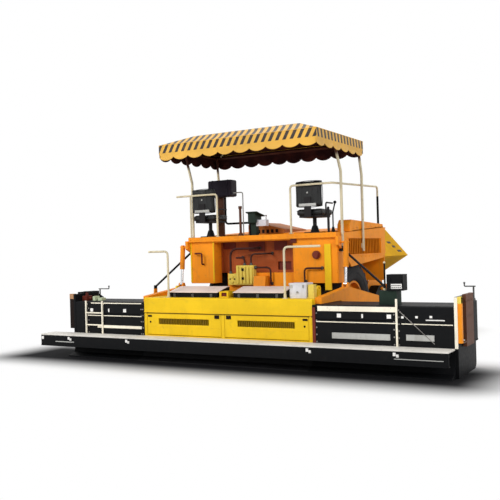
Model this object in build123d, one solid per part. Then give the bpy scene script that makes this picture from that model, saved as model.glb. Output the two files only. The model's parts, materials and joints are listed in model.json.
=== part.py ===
from build123d import *
import math
import os

# A wheeled asphalt paver: a tractor on two large drive wheels and four small steered wheels, a
# receiving hopper in front, a slat conveyor and two augers, and a towed screed with bolted
# extensions behind. Millimetres, +X to the right, +Y forward, +Z up from the ground.
# Stations along Y are measured forward from the rear face of the main screed while modelling.
# Finished pieces are moved back by ORIGIN_STATION, so that the origin lies midway along the machine.
ORIGIN_STATION = 2600

# Fits
RUNNING = 0.3          # radial and end clearance of every pin, shaft and seat
WORKING = 8            # clearance between pieces that pass each other

# Screed
SCREED_WIDTH = 3000
SCREED_DEPTH = 850
SCREED_TOP = 990
SCREED_WALL = 24
CREASE_Z = 755         # lower edge of the fixed upper band, above the doors
DOOR_SILL_Z = 400
DOOR_POST = 70
DOOR_THICKNESS = 28
DOOR_GAP = 6
DOOR_PIN_R = 8
INNER_EXTENSION = 1240
OUTER_EXTENSION = {"left": 500, "right": 760}
EXTENSION_TOP = 913
EXTENSION_DEPTH = 760
WALKWAY_HALF = SCREED_WIDTH / 2 + INNER_EXTENSION + OUTER_EXTENSION["right"]
WALKWAY_DEPTH = 410
WALKWAY_TOP = 380
WALKWAY_PLATE = 40
GATE_THICKNESS = 40
GATE_TOP = 1040

# Tow arms, which bolt on the screed's ends, measured at the tow point in front and at the lift lug
ARM_THICKNESS = 100
ARM_X = (SCREED_WIDTH / 2, SCREED_WIDTH / 2 + ARM_THICKNESS)
TOW_POINT = (3550, 550)       # station, height
TOW_PIN_R = 35
LIFT_LUG = (1130, 1150)       # station, height
LIFT_TOP = (1190, 1800)
LIFT_X = sum(ARM_X) / 2
LIFT_PIN_R = 16
LIFT_BARREL = 390             # barrel length from its upper pin
LIFT_ROD_TOP = 315            # where the rod's inner end lies at rest
LIFT_EYE_PLAY = 5             # open pivot of the linkage, at the rod's eye

# Tractor
CONVEYOR_HALF = 620
PLATE = 80                    # thickness of the chassis side beams
CHASSIS_REAR = 1300
CHASSIS_FRONT = 5100
CHASSIS_BOTTOM = 400
FRONT_BOTTOM = 760            # underside of the chassis above the steered wheels
HOPPER_SILL = 1100
DECK_Z = 1300
BULKHEAD_STATION = 3400
SHEET = 30
ARM_GAP = 100                 # between the body's side and the tow arm
BODY_HALF = ARM_X[0] - ARM_GAP
FENDER_Z = 1560
PLATFORM_REAR = 1150
PLATFORM_FRONT = 1820
PLATFORM_TOP = 1960
PANEL_REAR = 1200
PANEL_FRONT = 1450
HOOD_FRONT = 3300

# Wheels
DRIVE_WHEEL_R = 750
DRIVE_WHEEL_WIDTH = 420
DRIVE_WHEEL_X = BODY_HALF - 330
DRIVE_STATION = 2170
RIM_R = 400
HUB_R = 120
STEER_WHEEL_R = 270
STEER_WHEEL_WIDTH = 230
STEER_X = CONVEYOR_HALF + PLATE + 100
STEER_STATIONS = {"trailing": CHASSIS_FRONT - 950, "leading": CHASSIS_FRONT - 230}
BOGIE_STATION = (STEER_STATIONS["trailing"] + STEER_STATIONS["leading"]) / 2
BOGIE_Z = 880
BOGIE_PIN_R = 32
KINGPIN_R = 28
STEER_AXLE_R = 25

# Hopper wings: hinge, knuckle and top edge, as (x, z), folded partly inward
WING_HINGE = (CONVEYOR_HALF + PLATE / 2, 1130)
WING_KNUCKLE = (WING_HINGE[0] + 620, 1530)
WING_TOP = (WING_HINGE[0] + 140, 2080)
WING_SHEET = 24
WING_STATIONS = (BULKHEAD_STATION + 60, CHASSIS_FRONT - 50)
WING_PIN_R = 14
WING_LUGS = (WING_STATIONS[0] + 40, 4230, WING_STATIONS[1] - 100)
WING_LUG_WIDTH = 60
WING_CYLINDER_STATION = 3780
WING_CYLINDER_BASE = (WING_HINGE[0] + 130, 830)
WING_CYLINDER_EYE = (WING_HINGE[0] + 310, 1270)
WING_BARREL = 262
WING_ROD_START = 222
WING_EYE_PLAY = 4

# Augers and conveyor
AUGER_STATION = 1150
AUGER_Z = 420
AUGER_R = 185
AUGER_SHAFT_R = 42
AUGER_PITCH = 370
AUGER_INNER = 130
AUGER_OUTER = 2150
AUGER_SPIGOT_R = 24
CONVEYOR_FLOOR = 745
SLAT_PITCH = 190

# Push rollers
ROLLER_STATION = CHASSIS_FRONT + 410
ROLLER_Z = 560
ROLLER_R = 95
ROLLER_SPAN = (110, 860)
ROLLER_AXLE_R = 24

# Tie-down eyes in front and lifting eyes on the screed
EYE_BORE_R = 26
EYE_PLATE = 30
TIE_DOWN = (420, CHASSIS_FRONT + 140, 840)    # inner x, station and height of the bore
LIFTING = (SCREED_WIDTH / 2 - 210, 660, SCREED_TOP + 110)

# Operator's platform and canopy
RAIL_R = 17
RAIL_TOP = 2750
RAIL_X = BODY_HALF - 50
CANOPY_HALF = BODY_HALF + 50
CANOPY_STATIONS = (430, 2290)
CANOPY_EAVE_Z = 3500
CANOPY_HEM_Z = CANOPY_EAVE_Z - 240
CANOPY_CROWN_Z = CANOPY_EAVE_Z + 200
CANOPY_SKIN = 12
POST_R = 22
POST_X = BODY_HALF + POST_R + 2
POST_BEND_Z = CANOPY_EAVE_Z - 570


# ---------------------------------------------------------------- shapes used by many pieces

def block(x, y, z):
    """A box between (low, high) pairs."""
    centre = Pos((x[0] + x[1]) / 2, (y[0] + y[1]) / 2, (z[0] + z[1]) / 2)
    return centre * Box(x[1] - x[0], y[1] - y[0], z[1] - z[0])


def side_plate(outline, x):
    """(station, height) points, extruded across the machine between two x values."""
    face = make_face(Polyline(*[(x[0], y, z) for y, z in outline], close=True))
    return extrude(face, amount=x[1] - x[0], dir=(1, 0, 0))


def cross_plate(outline, y):
    """(x, height) points, extruded forward between two stations."""
    face = make_face(Polyline(*[(x, y[0], z) for x, z in outline], close=True))
    return extrude(face, amount=y[1] - y[0], dir=(0, 1, 0))


def bar(start, end, radius):
    """A round bar from one point to another."""
    path = Vector(*end) - Vector(*start)
    return Solid.make_cylinder(radius, path.length, Plane(origin=start, z_dir=path))


def bent_tube(points, radius, bend):
    """A round tube along straight runs joined by arcs."""
    path = FilletPolyline(*points, radius=bend)
    return sweep(Plane(origin=path @ 0, z_dir=path % 0) * Circle(radius), path=path)


def turned(profile, station, height):
    """(x, radius) points, revolved about the line along X through a station and height."""
    face = make_face(Polyline(*[(x, r, 0) for x, r in profile], close=True))
    return Pos(0, station, height) * revolve(face, Axis.X)


def fused(*shapes):
    """One solid out of pieces that meet."""
    whole = shapes[0]
    for shape in shapes[1:]:
        whole = whole + shape
    return whole


def eye_plate(place, foot):
    """Upright plate with a shackle bore, standing on a foot: (low station, low z, high station, high z)."""
    x, station, height = place
    y0, z0, y1, z1 = foot
    pad = bar((x, station, height), (x + EYE_PLATE, station, height), EYE_BORE_R * 2)
    plate = fused(pad, block((x, x + EYE_PLATE), (y0, y1), (z0, z1)))
    return plate - bar((x - 1, station, height), (x + EYE_PLATE + 1, station, height), EYE_BORE_R)


def mirrored(shape):
    return mirror(shape, Plane.YZ)


def sided(shape, side):
    """The shape as modelled on the right, or its mirror image on the left."""
    return shape if side == "right" else mirrored(shape)


def save(name, *shapes):
    """Write one node, moved from stations to the machine's own origin."""
    solids = [solid for shape in shapes for solid in shape.solids()]
    node = Compound(solids).moved(Location((0, -ORIGIN_STATION, 0)))
    export_step(node, f"parts/{name}.step")


# ---------------------------------------------------------------- tractor

def chassis_frame():
    """Two side beams with their cross ties, the tow tube and the bogie pins."""
    beam_outline = [
        (CHASSIS_REAR, 720), (CHASSIS_REAR + 120, CHASSIS_BOTTOM), (3600, CHASSIS_BOTTOM), (3750, FRONT_BOTTOM),
        (CHASSIS_FRONT, FRONT_BOTTOM), (CHASSIS_FRONT, HOPPER_SILL), (BULKHEAD_STATION, HOPPER_SILL),
        (BULKHEAD_STATION, DECK_Z), (CHASSIS_REAR, DECK_Z),
    ]
    beam = side_plate(beam_outline, (CONVEYOR_HALF, CONVEYOR_HALF + PLATE))
    front_tie = block((0, CONVEYOR_HALF), (CHASSIS_FRONT - 40, CHASSIS_FRONT), (FRONT_BOTTOM, HOPPER_SILL - 30))
    rear_tie = block((0, CONVEYOR_HALF), (CHASSIS_REAR, CHASSIS_REAR + 60), (1020, DECK_Z))
    tow_tube = bar((0, *TOW_POINT), (ARM_X[0] - 60, *TOW_POINT), 60)
    tow_pin = bar((ARM_X[0] - 60, *TOW_POINT), (ARM_X[1] + 40, *TOW_POINT), TOW_PIN_R)
    bogie = (BOGIE_STATION, BOGIE_Z)
    bogie_pin = bar((CONVEYOR_HALF + PLATE, *bogie), (STEER_X + 130, *bogie), BOGIE_PIN_R)
    half = fused(beam, front_tie, rear_tie, tow_tube, tow_pin, bogie_pin)
    return half + mirrored(half)


def engine_deck():
    """Folded deck between the side beams, with its fenders over the drive wheels."""
    outer, face = BODY_HALF - SHEET, CONVEYOR_HALF + PLATE
    half_deck = [
        (0, DECK_Z), (face, DECK_Z), (face, FENDER_Z), (outer, FENDER_Z), (outer, FENDER_Z + SHEET),
        (face - SHEET, FENDER_Z + SHEET), (face - SHEET, DECK_Z + SHEET), (0, DECK_Z + SHEET),
    ]
    rear_end = CHASSIS_REAR + 220
    deck = cross_plate(half_deck, (rear_end, BULKHEAD_STATION))
    half = deck + block((0, face), (CHASSIS_REAR, rear_end), (DECK_Z, DECK_Z + SHEET))
    return half + mirrored(half)


def bulkhead():
    """Wall between the engine and the hopper, narrowed to pass between the side beams."""
    outer = BODY_HALF - SHEET
    stations = (BULKHEAD_STATION, BULKHEAD_STATION + SHEET)
    wall = block((-outer, outer), stations, (HOPPER_SILL, 2040))
    return wall + block((-CONVEYOR_HALF, CONVEYOR_HALF), stations, (1000, HOPPER_SILL))


def engine_block():
    body = block((-430, 430), (2080, 3120), (DECK_Z + SHEET, 1950))
    return chamfer(body.edges().filter_by(Axis.Y), 60)


def final_drive():
    """Planetary drive on the side beam, with the spindle that carries the drive wheel."""
    face = CONVEYOR_HALF + PLATE
    profile = [
        (face, 0), (face, 230), (face + 60, 230), (face + 60, 190), (DRIVE_WHEEL_X - 170, 190),
        (DRIVE_WHEEL_X - 170, HUB_R), (DRIVE_WHEEL_X + 70, HUB_R), (DRIVE_WHEEL_X + 70, 0),
    ]
    return turned(profile, DRIVE_STATION, DRIVE_WHEEL_R)


def drive_rim():
    """Rim barrel, disc and hub."""
    low = DRIVE_WHEEL_X - DRIVE_WHEEL_WIDTH / 2 + 25
    high = DRIVE_WHEEL_X + DRIVE_WHEEL_WIDTH / 2 - 25
    bore = HUB_R + RUNNING
    seat = DRIVE_WHEEL_X - 160
    profile = [
        (seat, bore), (seat, bore + 45), (DRIVE_WHEEL_X + 10, bore + 45), (DRIVE_WHEEL_X + 40, RIM_R - 32),
        (low, RIM_R - 32), (low, RIM_R), (high, RIM_R), (high, RIM_R - 32), (DRIVE_WHEEL_X + 68, RIM_R - 32),
        (DRIVE_WHEEL_X + 90, 210), (DRIVE_WHEEL_X + 150, 190), (DRIVE_WHEEL_X + 160, 0),
        (DRIVE_WHEEL_X + 70 + WORKING, 0), (DRIVE_WHEEL_X + 70 + WORKING, bore),
    ]
    rim = turned(profile, DRIVE_STATION, DRIVE_WHEEL_R)
    hole = bar((DRIVE_WHEEL_X, 0, 285), (DRIVE_WHEEL_X + 200, 0, 285), 34)
    holes = [Pos(0, DRIVE_STATION, DRIVE_WHEEL_R) * (Rot(turn, 0, 0) * hole) for turn in range(0, 360, 45)]
    return rim - holes


def drive_tyre():
    """Wide earthmover tyre: bead, bulged sidewall and crowned tread."""
    half = DRIVE_WHEEL_WIDTH / 2
    bead = RIM_R + RUNNING
    line = [
        Line((-half + 35, bead), (-half + 5, bead + 40)),
        ThreePointArc((-half + 5, bead + 40), (-half - 8, 590), (-half + 30, 705)),
        ThreePointArc((-half + 30, 705), (0, DRIVE_WHEEL_R), (half - 30, 705)),
        ThreePointArc((half - 30, 705), (half + 8, 590), (half - 5, bead + 40)),
        Line((half - 5, bead + 40), (half - 35, bead)),
        Line((half - 35, bead), (-half + 35, bead)),
    ]
    tyre = revolve(make_face(line), Axis.X)
    return Pos(DRIVE_WHEEL_X, DRIVE_STATION, DRIVE_WHEEL_R) * tyre


def bogie_beam():
    """Rocking beam that carries both steered wheels of one side."""
    low, high = STEER_STATIONS["trailing"], STEER_STATIONS["leading"]
    middle = BOGIE_STATION
    outline = [
        (low - 90, 610), (high + 90, 610), (high + 90, 700), (middle + 110, 940), (middle - 110, 940),
        (low - 90, 700),
    ]
    beam = side_plate(outline, (STEER_X - 90, STEER_X + 90))
    beam -= bar((STEER_X - 100, middle, BOGIE_Z), (STEER_X + 100, middle, BOGIE_Z), BOGIE_PIN_R + RUNNING)
    for station in STEER_STATIONS.values():
        beam -= bar((STEER_X, station, 600), (STEER_X, station, 700), KINGPIN_R + RUNNING)
    return beam


def wheel_fork(station):
    """Steering fork with its kingpin and wheel axle."""
    inner = STEER_WHEEL_WIDTH / 2 + WORKING
    leg = 26
    top = 2 * STEER_WHEEL_R + 12
    crown = block((-inner - leg, inner + leg), (-70, 70), (top, top + 40))
    legs = [
        block((x, x + leg), (-45, 45), (STEER_WHEEL_R - 45, top))
        for x in (-inner - leg, inner)
    ]
    axle = bar((-inner, 0, STEER_WHEEL_R), (inner, 0, STEER_WHEEL_R), STEER_AXLE_R)
    kingpin = bar((0, 0, top + 40), (0, 0, 690), KINGPIN_R)
    washer = bar((0, 0, top + 40), (0, 0, 610 - RUNNING), KINGPIN_R + 25)
    return Pos(STEER_X, station, 0) * fused(crown, *legs, axle, kingpin, washer)


def steer_wheel(station):
    """Solid rubber tyre pressed on a dished wheel."""
    half = STEER_WHEEL_WIDTH / 2
    bore = STEER_AXLE_R + RUNNING
    profile = [
        (-half, bore), (-half, 70), (-half + 45, 80), (-half + 45, 160), (-half, 175),
        (-half, STEER_WHEEL_R - 14), (-half + 14, STEER_WHEEL_R), (half - 14, STEER_WHEEL_R),
        (half, STEER_WHEEL_R - 14), (half, 175), (half - 45, 160), (half - 45, 80), (half, 70), (half, bore),
    ]
    return Pos(STEER_X, 0, 0) * turned(profile, station, STEER_WHEEL_R)


def panel_top(station):
    """Height of the side panel's top edge."""
    return 1951 + (station - PANEL_FRONT) * 0.0588


def side_panel():
    """Engine side panel with a window of upright louvre blades."""
    outline = [
        (PANEL_FRONT, panel_top(PANEL_FRONT)), (PANEL_FRONT, 1640), (1760, 1400), (HOOD_FRONT, 1520),
        (HOOD_FRONT, panel_top(HOOD_FRONT)),
    ]
    x = (BODY_HALF - SHEET, BODY_HALF)
    window_y, window_z = (1640, 3140), (1600, 1860)
    panel = side_plate(outline, x) - block((x[0] - 1, x[1] + 1), window_y, window_z)
    pitch = 75
    blades = []
    station = window_y[0] + 0.5 * pitch
    while station < window_y[1] - 20:
        blade = Box(8, 30, window_z[1] - window_z[0] + 10)
        blade = Pos(sum(x) / 2, station, sum(window_z) / 2) * (Rot(0, 0, 55) * blade)
        blades.append(blade)
        station += pitch
    return fused(panel, *blades)


def hood_top(station):
    """Height of the hood's upper face, which falls towards the front."""
    rear, front = PLATFORM_FRONT + 50, HOOD_FRONT - 20
    drop = 2170 - (panel_top(HOOD_FRONT) + 24)
    return 2170 - drop * (station - rear) / (front - rear)


def engine_hood():
    """Hood over the engine, highest behind the operators' feet."""
    rear = PLATFORM_FRONT
    outline = [
        (rear, panel_top(rear)), (rear, 2130), (rear + 50, 2170), (HOOD_FRONT - 20, panel_top(HOOD_FRONT) + 24),
        (HOOD_FRONT, panel_top(HOOD_FRONT)),
    ]
    inside = [
        (rear + 25, panel_top(rear) - 10), (rear + 25, 2115), (rear + 60, 2144),
        (HOOD_FRONT - 300, panel_top(HOOD_FRONT) + 10), (HOOD_FRONT - 300, panel_top(HOOD_FRONT) - 60),
    ]
    hood = side_plate(outline, (-BODY_HALF, BODY_HALF))
    return hood - side_plate(inside, (-BODY_HALF + 25, BODY_HALF - 25))


def rear_panels():
    """Tank panels either side of the hydraulic recess, the beam above it and the corner brackets."""
    z = (1160, 1930)
    left = block((-BODY_HALF, -760), (PANEL_REAR, PANEL_FRONT), z)
    left -= block((-BODY_HALF + 25, -785), (PANEL_REAR + 25, PANEL_FRONT + 10), (1185, 1905))
    right = block((760, BODY_HALF), (PANEL_REAR, PANEL_FRONT), z)
    right -= block((785, BODY_HALF - 25), (PANEL_REAR + 25, PANEL_FRONT + 10), (1185, 1905))
    slot_wall = block((600, 760), (1380, 1400), (DECK_Z + SHEET, z[1]))
    recess = block((-760, 600), (1500, 1520), (DECK_Z + SHEET, z[1]))
    cheek = block((600, 620), (1380, 1520), (DECK_Z + SHEET, z[1]))
    left_cheek = block((-785, -760), (PANEL_FRONT, 1520), (DECK_Z + SHEET, z[1]))
    beam = block((-760, 760), (PANEL_REAR, PANEL_REAR + 90), (1860, z[1]))
    whole = fused(left, right, slot_wall, recess, cheek, left_cheek, beam)
    for side in (-1, 1):
        ear_face = BODY_HALF + 50
        ear = side_plate([(1120, 1760), (1250, 1700), (1250, 1900), (1120, 1900)], (BODY_HALF, ear_face))
        pin = bar((ear_face, *LIFT_TOP), (ARM_X[1], *LIFT_TOP), LIFT_PIN_R)
        bracket = ear + pin
        whole += bracket if side > 0 else mirrored(bracket)
    return whole


def operator_platform():
    """Chequered deck with a folded rim."""
    deck = block((-BODY_HALF, BODY_HALF), (PLATFORM_REAR, PANEL_FRONT), (1930, PLATFORM_TOP))
    deck += block((-BODY_HALF + SHEET, BODY_HALF - SHEET), (PANEL_FRONT, PLATFORM_FRONT), (1930, PLATFORM_TOP))
    step = block((-BODY_HALF, BODY_HALF), (PLATFORM_REAR, PANEL_REAR), (1880, 1930))
    return deck + step


def platform_rails():
    """Guard rails round the back and the right-hand side."""
    deck = PLATFORM_TOP
    right = bent_tube([
        (610, 1175, deck), (610, 1175, RAIL_TOP), (RAIL_X, 1175, RAIL_TOP), (RAIL_X, 3180, RAIL_TOP),
        (RAIL_X, 3180, hood_top(3180) + 1.5),
    ], RAIL_R, 60)
    right_posts = [bar((RAIL_X, 1800, PLATFORM_TOP), (RAIL_X, 1800, RAIL_TOP), RAIL_R - 3)]
    right_posts += [bar((1000, 1175, PLATFORM_TOP), (1000, 1175, RAIL_TOP), RAIL_R - 3)]
    left = bent_tube([
        (-RAIL_X, 1175, deck), (-RAIL_X, 1175, 2700), (-800, 1175, 2700), (-800, 1175, deck),
    ], RAIL_R, 60)
    return fused(right, *right_posts), left


def control_console():
    """Instrument console on a column, with a sloped top."""
    column = block((-60, 60), (1500, 1600), (PLATFORM_TOP, 2180))
    head = side_plate([(1430, 2180), (1660, 2180), (1660, 2300), (1430, 2360)], (-170, 170))
    shelf = side_plate([(1400, 2362), (1400, 2382), (1690, 2320), (1690, 2300)], (-200, 200))
    return fused(column, head, shelf)


SEATS = (-1130, 900)                 # centre x of each seat
SEAT_WIDTH = 500
SEAT_CUSHION_Z = (2250, 2350)
SEAT_STATIONS = (1230, 1700)


def seat_frame(centre):
    """Pedestal, slide and arm rest of one seat."""
    foot = block((centre - 130, centre + 130), (1330, 1590), (PLATFORM_TOP, PLATFORM_TOP + 20))
    column = bar((centre, 1460, PLATFORM_TOP), (centre, 1460, 2220), 32)
    pan = block((centre - 190, centre + 190), (SEAT_STATIONS[0] + 50, 1660), (2215, SEAT_CUSHION_Z[0]))
    arm = bent_tube([
        (centre + 210, 1300, 2232), (centre + 275, 1300, 2232), (centre + 275, 1300, 2440),
        (centre + 275, 1560, 2440),
    ], 13, 40)
    arm_root = block((centre + 180, centre + 225), (1285, 1315), (2217, 2247))
    strut = block((centre - 60, centre + 60), (1196, 1210 - RUNNING), (2215, 2540))
    tie = block((centre - 60, centre + 60), (1196, SEAT_STATIONS[0] + 50), (2215, SEAT_CUSHION_Z[0] - 5))
    return fused(foot, column, pan, arm_root, arm, strut, tie)


def seat_pads(centre):
    """Cushion and backrest, plain closed solids for the upholstery."""
    x = (centre - SEAT_WIDTH / 2, centre + SEAT_WIDTH / 2)
    cushion = block(x, SEAT_STATIONS, SEAT_CUSHION_Z)
    cushion = fillet(cushion.edges(), 30)
    back_outline = [(1210, 2360), (1315, 2360), (1290, 2820), (1210, 2820)]
    back = side_plate(back_outline, x)
    back = fillet(back.edges(), 30)
    return cushion, back


def exhaust():
    """Silencer box on a square post, with its tail pipe."""
    post = block((-1090, -1010), (1720, 1790), (PLATFORM_TOP, 2680))
    box = block((-1290, -760), (1640, 1860), (2680, 2980))
    box = fillet(box.edges().filter_by(Axis.X), 60)
    pipe = bent_tube([(-920, 1750, 2700), (-920, 1750, 2240), (-600, 1790, 2240), (-600, 1790, PLATFORM_TOP)], 20, 60)
    return fused(post, box, pipe)


def canopy_frame():
    """Four posts, the frame under the cloth and its hip rafters."""
    inner_x = CANOPY_HALF - CANOPY_SKIN - RUNNING - 15
    inner_y = (CANOPY_STATIONS[0] + CANOPY_SKIN + RUNNING + 15, CANOPY_STATIONS[1] - CANOPY_SKIN - RUNNING - 15)
    ring_z = CANOPY_EAVE_Z - 60
    top_x = inner_x - 20
    foot_z = 1650
    posts = []
    for side in (-1, 1):
        rear = bent_tube([
            (side * POST_X, 1350, foot_z), (side * POST_X, 1350, POST_BEND_Z), (side * top_x, 1120, ring_z),
        ], POST_R, 120)
        front = bent_tube([
            (side * POST_X, 2240, foot_z), (side * POST_X, 2240, POST_BEND_Z), (side * top_x, 2150, ring_z),
        ], POST_R, 120)
        posts += [rear, front]
        for station in (1350, 2240):
            reach = (BODY_HALF, POST_X) if side > 0 else (-POST_X, -BODY_HALF)
            height = (1700, 1780)
            posts.append(block(reach, (station - 30, station + 30), height))
    ring = [bar((x, inner_y[0], ring_z), (x, inner_y[1], ring_z), 15) for x in (-inner_x, inner_x)]
    ring += [bar((-inner_x, y, ring_z), (inner_x, y, ring_z), 15) for y in (*inner_y, 1120, 2150)]
    return fused(*ring, *posts)


def canopy_roof(half, y, hem, eave, crown, ridge_half, ridge_y):
    """Straight valance below the eave and a hip roof above it."""
    skirt = block((-half, half), y, (hem, eave))
    lower = Plane.XY.offset(eave) * (Pos(0, sum(y) / 2) * Rectangle(2 * half, y[1] - y[0]))
    upper = Plane.XY.offset(crown) * (Pos(0, sum(ridge_y) / 2) * Rectangle(2 * ridge_half, ridge_y[1] - ridge_y[0]))
    return skirt + loft([lower, upper])


def canopy_cover():
    """The cloth's true outer shape, open below."""
    ridge_y = (1180, 1490)
    outer = canopy_roof(CANOPY_HALF, CANOPY_STATIONS, CANOPY_HEM_Z, CANOPY_EAVE_Z, CANOPY_CROWN_Z, 620, ridge_y)
    skin = CANOPY_SKIN
    inner_y = (CANOPY_STATIONS[0] + skin, CANOPY_STATIONS[1] - skin)
    inner = canopy_roof(
        CANOPY_HALF - skin, inner_y, CANOPY_HEM_Z - 1, CANOPY_EAVE_Z - skin, CANOPY_CROWN_Z - skin,
        620, ridge_y,
    )
    return outer - inner


def valve_block():
    """Stacked hydraulic valve sections."""
    base = block((-330, 60), (1310, 1470), (DECK_Z + SHEET, 1390))
    sections = [block((x, x + 54), (1325, 1455), (1390, 1540)) for x in range(-320, 20, 62)]
    return fused(base, block((-320, 44), (1345, 1435), (1390, 1520)), *sections)


def hydraulic_hoses():
    """Hoses that leave the valve sections upward and bend to fittings on the back wall."""
    hoses = []
    for index, (end_x, top, end_z) in enumerate([(-560, 1820, 1600), (-440, 1760, 1640), (330, 1700, 1480),
                                                 (470, 1800, 1560)]):
        start_x = (-293, -231, -45, 17)[index]
        station = 1365 + 40 * (index % 2)
        hoses.append(bent_tube([
            (start_x, station, 1540 + RUNNING), (start_x, station, top), (end_x, station, top),
            (end_x, station, end_z), (end_x, 1500 - RUNNING, end_z),
        ], 15, 46))
    return hoses


def conveyor():
    """Slat conveyor: floor plate, upper and lower runs of slats on two chains, and end shafts."""
    half = CONVEYOR_HALF
    floor = block((-half, half), (1500, 4880), (CONVEYOR_FLOOR - 12, CONVEYOR_FLOOR))
    count = int((4880 - 1500) / SLAT_PITCH)
    slats = []
    for index in range(count):
        y = 1500 + (index + 0.5) * SLAT_PITCH
        slats.append(block((-half + 70, half - 70), (y - 25, y + 25), (CONVEYOR_FLOOR, CONVEYOR_FLOOR + 34)))
        slats.append(block((-half + 70, half - 70), (y - 25, y + 25), (CONVEYOR_FLOOR - 90, CONVEYOR_FLOOR - 56)))
    chains = []
    for x in (-300, 300):
        for z in (CONVEYOR_FLOOR, CONVEYOR_FLOOR - 90):
            chains.append(block((x - 20, x + 20), (1420, 4960), (z, z + 24)))
        for y in (1420, 4960):
            chains.append(bar((x - 20, y, CONVEYOR_FLOOR - 33), (x + 20, y, CONVEYOR_FLOOR - 33), 57))
    shafts = [bar((-half, y, CONVEYOR_FLOOR - 33), (half, y, CONVEYOR_FLOOR - 33), 30) for y in (1420, 4960)]
    hangers = [block((x - 20, x + 20), (y - 20, y + 20), (CONVEYOR_FLOOR - 90, CONVEYOR_FLOOR))
               for x in (-300, 300) for y in (2300, 3200, 4100)]
    return fused(floor, *chains, *shafts, *hangers, *slats)


def hopper_base():
    """Hinge lugs and pins of both wings on the chassis sills, and the sloped front apron."""
    pieces = []
    x, z = WING_HINGE
    for side in ("left", "right"):
        pin = bar((x, WING_LUGS[0], z + 16), (x, WING_LUGS[-1] + WING_LUG_WIDTH, z + 16), WING_PIN_R)
        lugs = [
            block((x - 30, x + 30), (y, y + WING_LUG_WIDTH), (HOPPER_SILL, z + 16 + 26))
            for y in WING_LUGS
        ]
        pieces.append(sided(fused(pin, *lugs), side))
    apron = side_plate([(4990, 820), (5040, 820), (5058, 1060), (5048, 1060)], (-CONVEYOR_HALF, CONVEYOR_HALF))
    return [*pieces, apron]


def push_roller_frame():
    """Front beam and the three plates that carry the push rollers."""
    beam = block((-880, 880), (CHASSIS_FRONT, CHASSIS_FRONT + 90), (FRONT_BOTTOM - 40, FRONT_BOTTOM + 180))
    plate_outline = [
        (CHASSIS_FRONT + 90, FRONT_BOTTOM + 20), (CHASSIS_FRONT + 90, 470), (ROLLER_STATION - 60, 470),
        (ROLLER_STATION + 45, ROLLER_Z - 45), (ROLLER_STATION + 45, ROLLER_Z + 45),
        (ROLLER_STATION - 60, 720),
    ]
    drop = block((-880, 880), (CHASSIS_FRONT + 40, CHASSIS_FRONT + 90), (470, FRONT_BOTTOM - 40))
    inner, outer = ROLLER_SPAN
    plates = [side_plate(plate_outline, x) for x in ((-outer - 30, -outer - RUNNING), (-60, 60),
                                                     (outer + RUNNING, outer + 30))]
    axle = bar((-outer - 20, ROLLER_STATION, ROLLER_Z), (outer + 20, ROLLER_STATION, ROLLER_Z), ROLLER_AXLE_R)
    foot = (CHASSIS_FRONT + 90, TIE_DOWN[2] - 50, TIE_DOWN[1], TIE_DOWN[2] + 50)
    eye = eye_plate(TIE_DOWN, foot)
    frame = fused(beam, drop, *plates, axle, eye, mirrored(eye))
    bore_x = TIE_DOWN[0] - 1
    bore = bar((bore_x, *TIE_DOWN[1:]), (bore_x + EYE_PLATE + 2, *TIE_DOWN[1:]), EYE_BORE_R)
    return frame - bore - mirrored(bore)


def push_roller():
    """One roller that pushes the supply truck's wheels."""
    inner, outer = ROLLER_SPAN
    bore = ROLLER_AXLE_R + RUNNING
    profile = [
        (inner, bore), (inner, ROLLER_R - 8), (inner + 8, ROLLER_R), (outer - 8, ROLLER_R),
        (outer, ROLLER_R - 8), (outer, bore),
    ]
    return turned(profile, ROLLER_STATION, ROLLER_Z)


def auger():
    """Shaft with half-turn flight plates, each tilted to the pitch."""
    length = AUGER_OUTER - AUGER_INNER
    shaft = bar((AUGER_INNER, 0, 0), (AUGER_OUTER, 0, 0), AUGER_SHAFT_R)
    shaft -= bar((AUGER_INNER - 1, 0, 0), (AUGER_OUTER + 1, 0, 0), AUGER_SPIGOT_R + RUNNING)
    tilt = math.degrees(math.atan(AUGER_PITCH / 2 / (2 * AUGER_R)))
    rings = int(length / (AUGER_PITCH / 2))
    disc = bar((-7, 0, 0), (7, 0, 0), AUGER_R) - bar((-8, 0, 0), (8, 0, 0), AUGER_SHAFT_R - 12)
    half_disc = disc & block((-10, 10), (-AUGER_R, AUGER_R), (0, AUGER_R))
    flights = []
    for index in range(rings):
        x = AUGER_INNER + (index + 0.5) * length / rings
        turn = 180 * (index % 2)
        lean = tilt if index % 2 else -tilt
        flights.append(Pos(x, 0, 0) * (Rot(turn, 0, 0) * (Rot(0, 0, lean) * half_disc)))
    return Pos(0, AUGER_STATION, AUGER_Z) * fused(shaft, *flights)


def auger_supports():
    """Chain case between the augers, and an outer hanger with its diagonal stay on each side."""
    case_outline = [(1070, 330), (1240, 330), (1300, 700), (1300, 1280), (1180, 1280), (1070, 700)]
    case = side_plate(case_outline, (-110, 110))
    spigot = (AUGER_STATION, AUGER_Z)
    case += bar((-AUGER_INNER - 60, *spigot), (AUGER_INNER + 60, *spigot), AUGER_SPIGOT_R)
    hangers = []
    plate_x = (AUGER_OUTER + RUNNING, AUGER_OUTER + 26)
    outline = [(1060, 380), (1110, 340), (1190, 340), (1240, 380), (1200, 1130), (1140, 1130)]
    plate = side_plate(outline, plate_x)
    plate += bar((AUGER_OUTER - 60, *spigot), (plate_x[1], *spigot), AUGER_SPIGOT_R)
    stay = bar((BODY_HALF + 40, 1284, 1700), (plate_x[0] + 10, 1180, 1110), 18)
    foot = block((BODY_HALF, BODY_HALF + 52), (1262, 1306), (1660, 1740))
    hanger = fused(plate, stay, foot)
    return case, hanger, mirrored(hanger)


# ---------------------------------------------------------------- hopper wings

def offset_point(start, end, distance):
    """Unit step of a length, square to the line from start to end, on its left."""
    dx, dz = end[0] - start[0], end[1] - start[1]
    length = math.hypot(dx, dz)
    return -dz / length * distance, dx / length * distance


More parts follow.
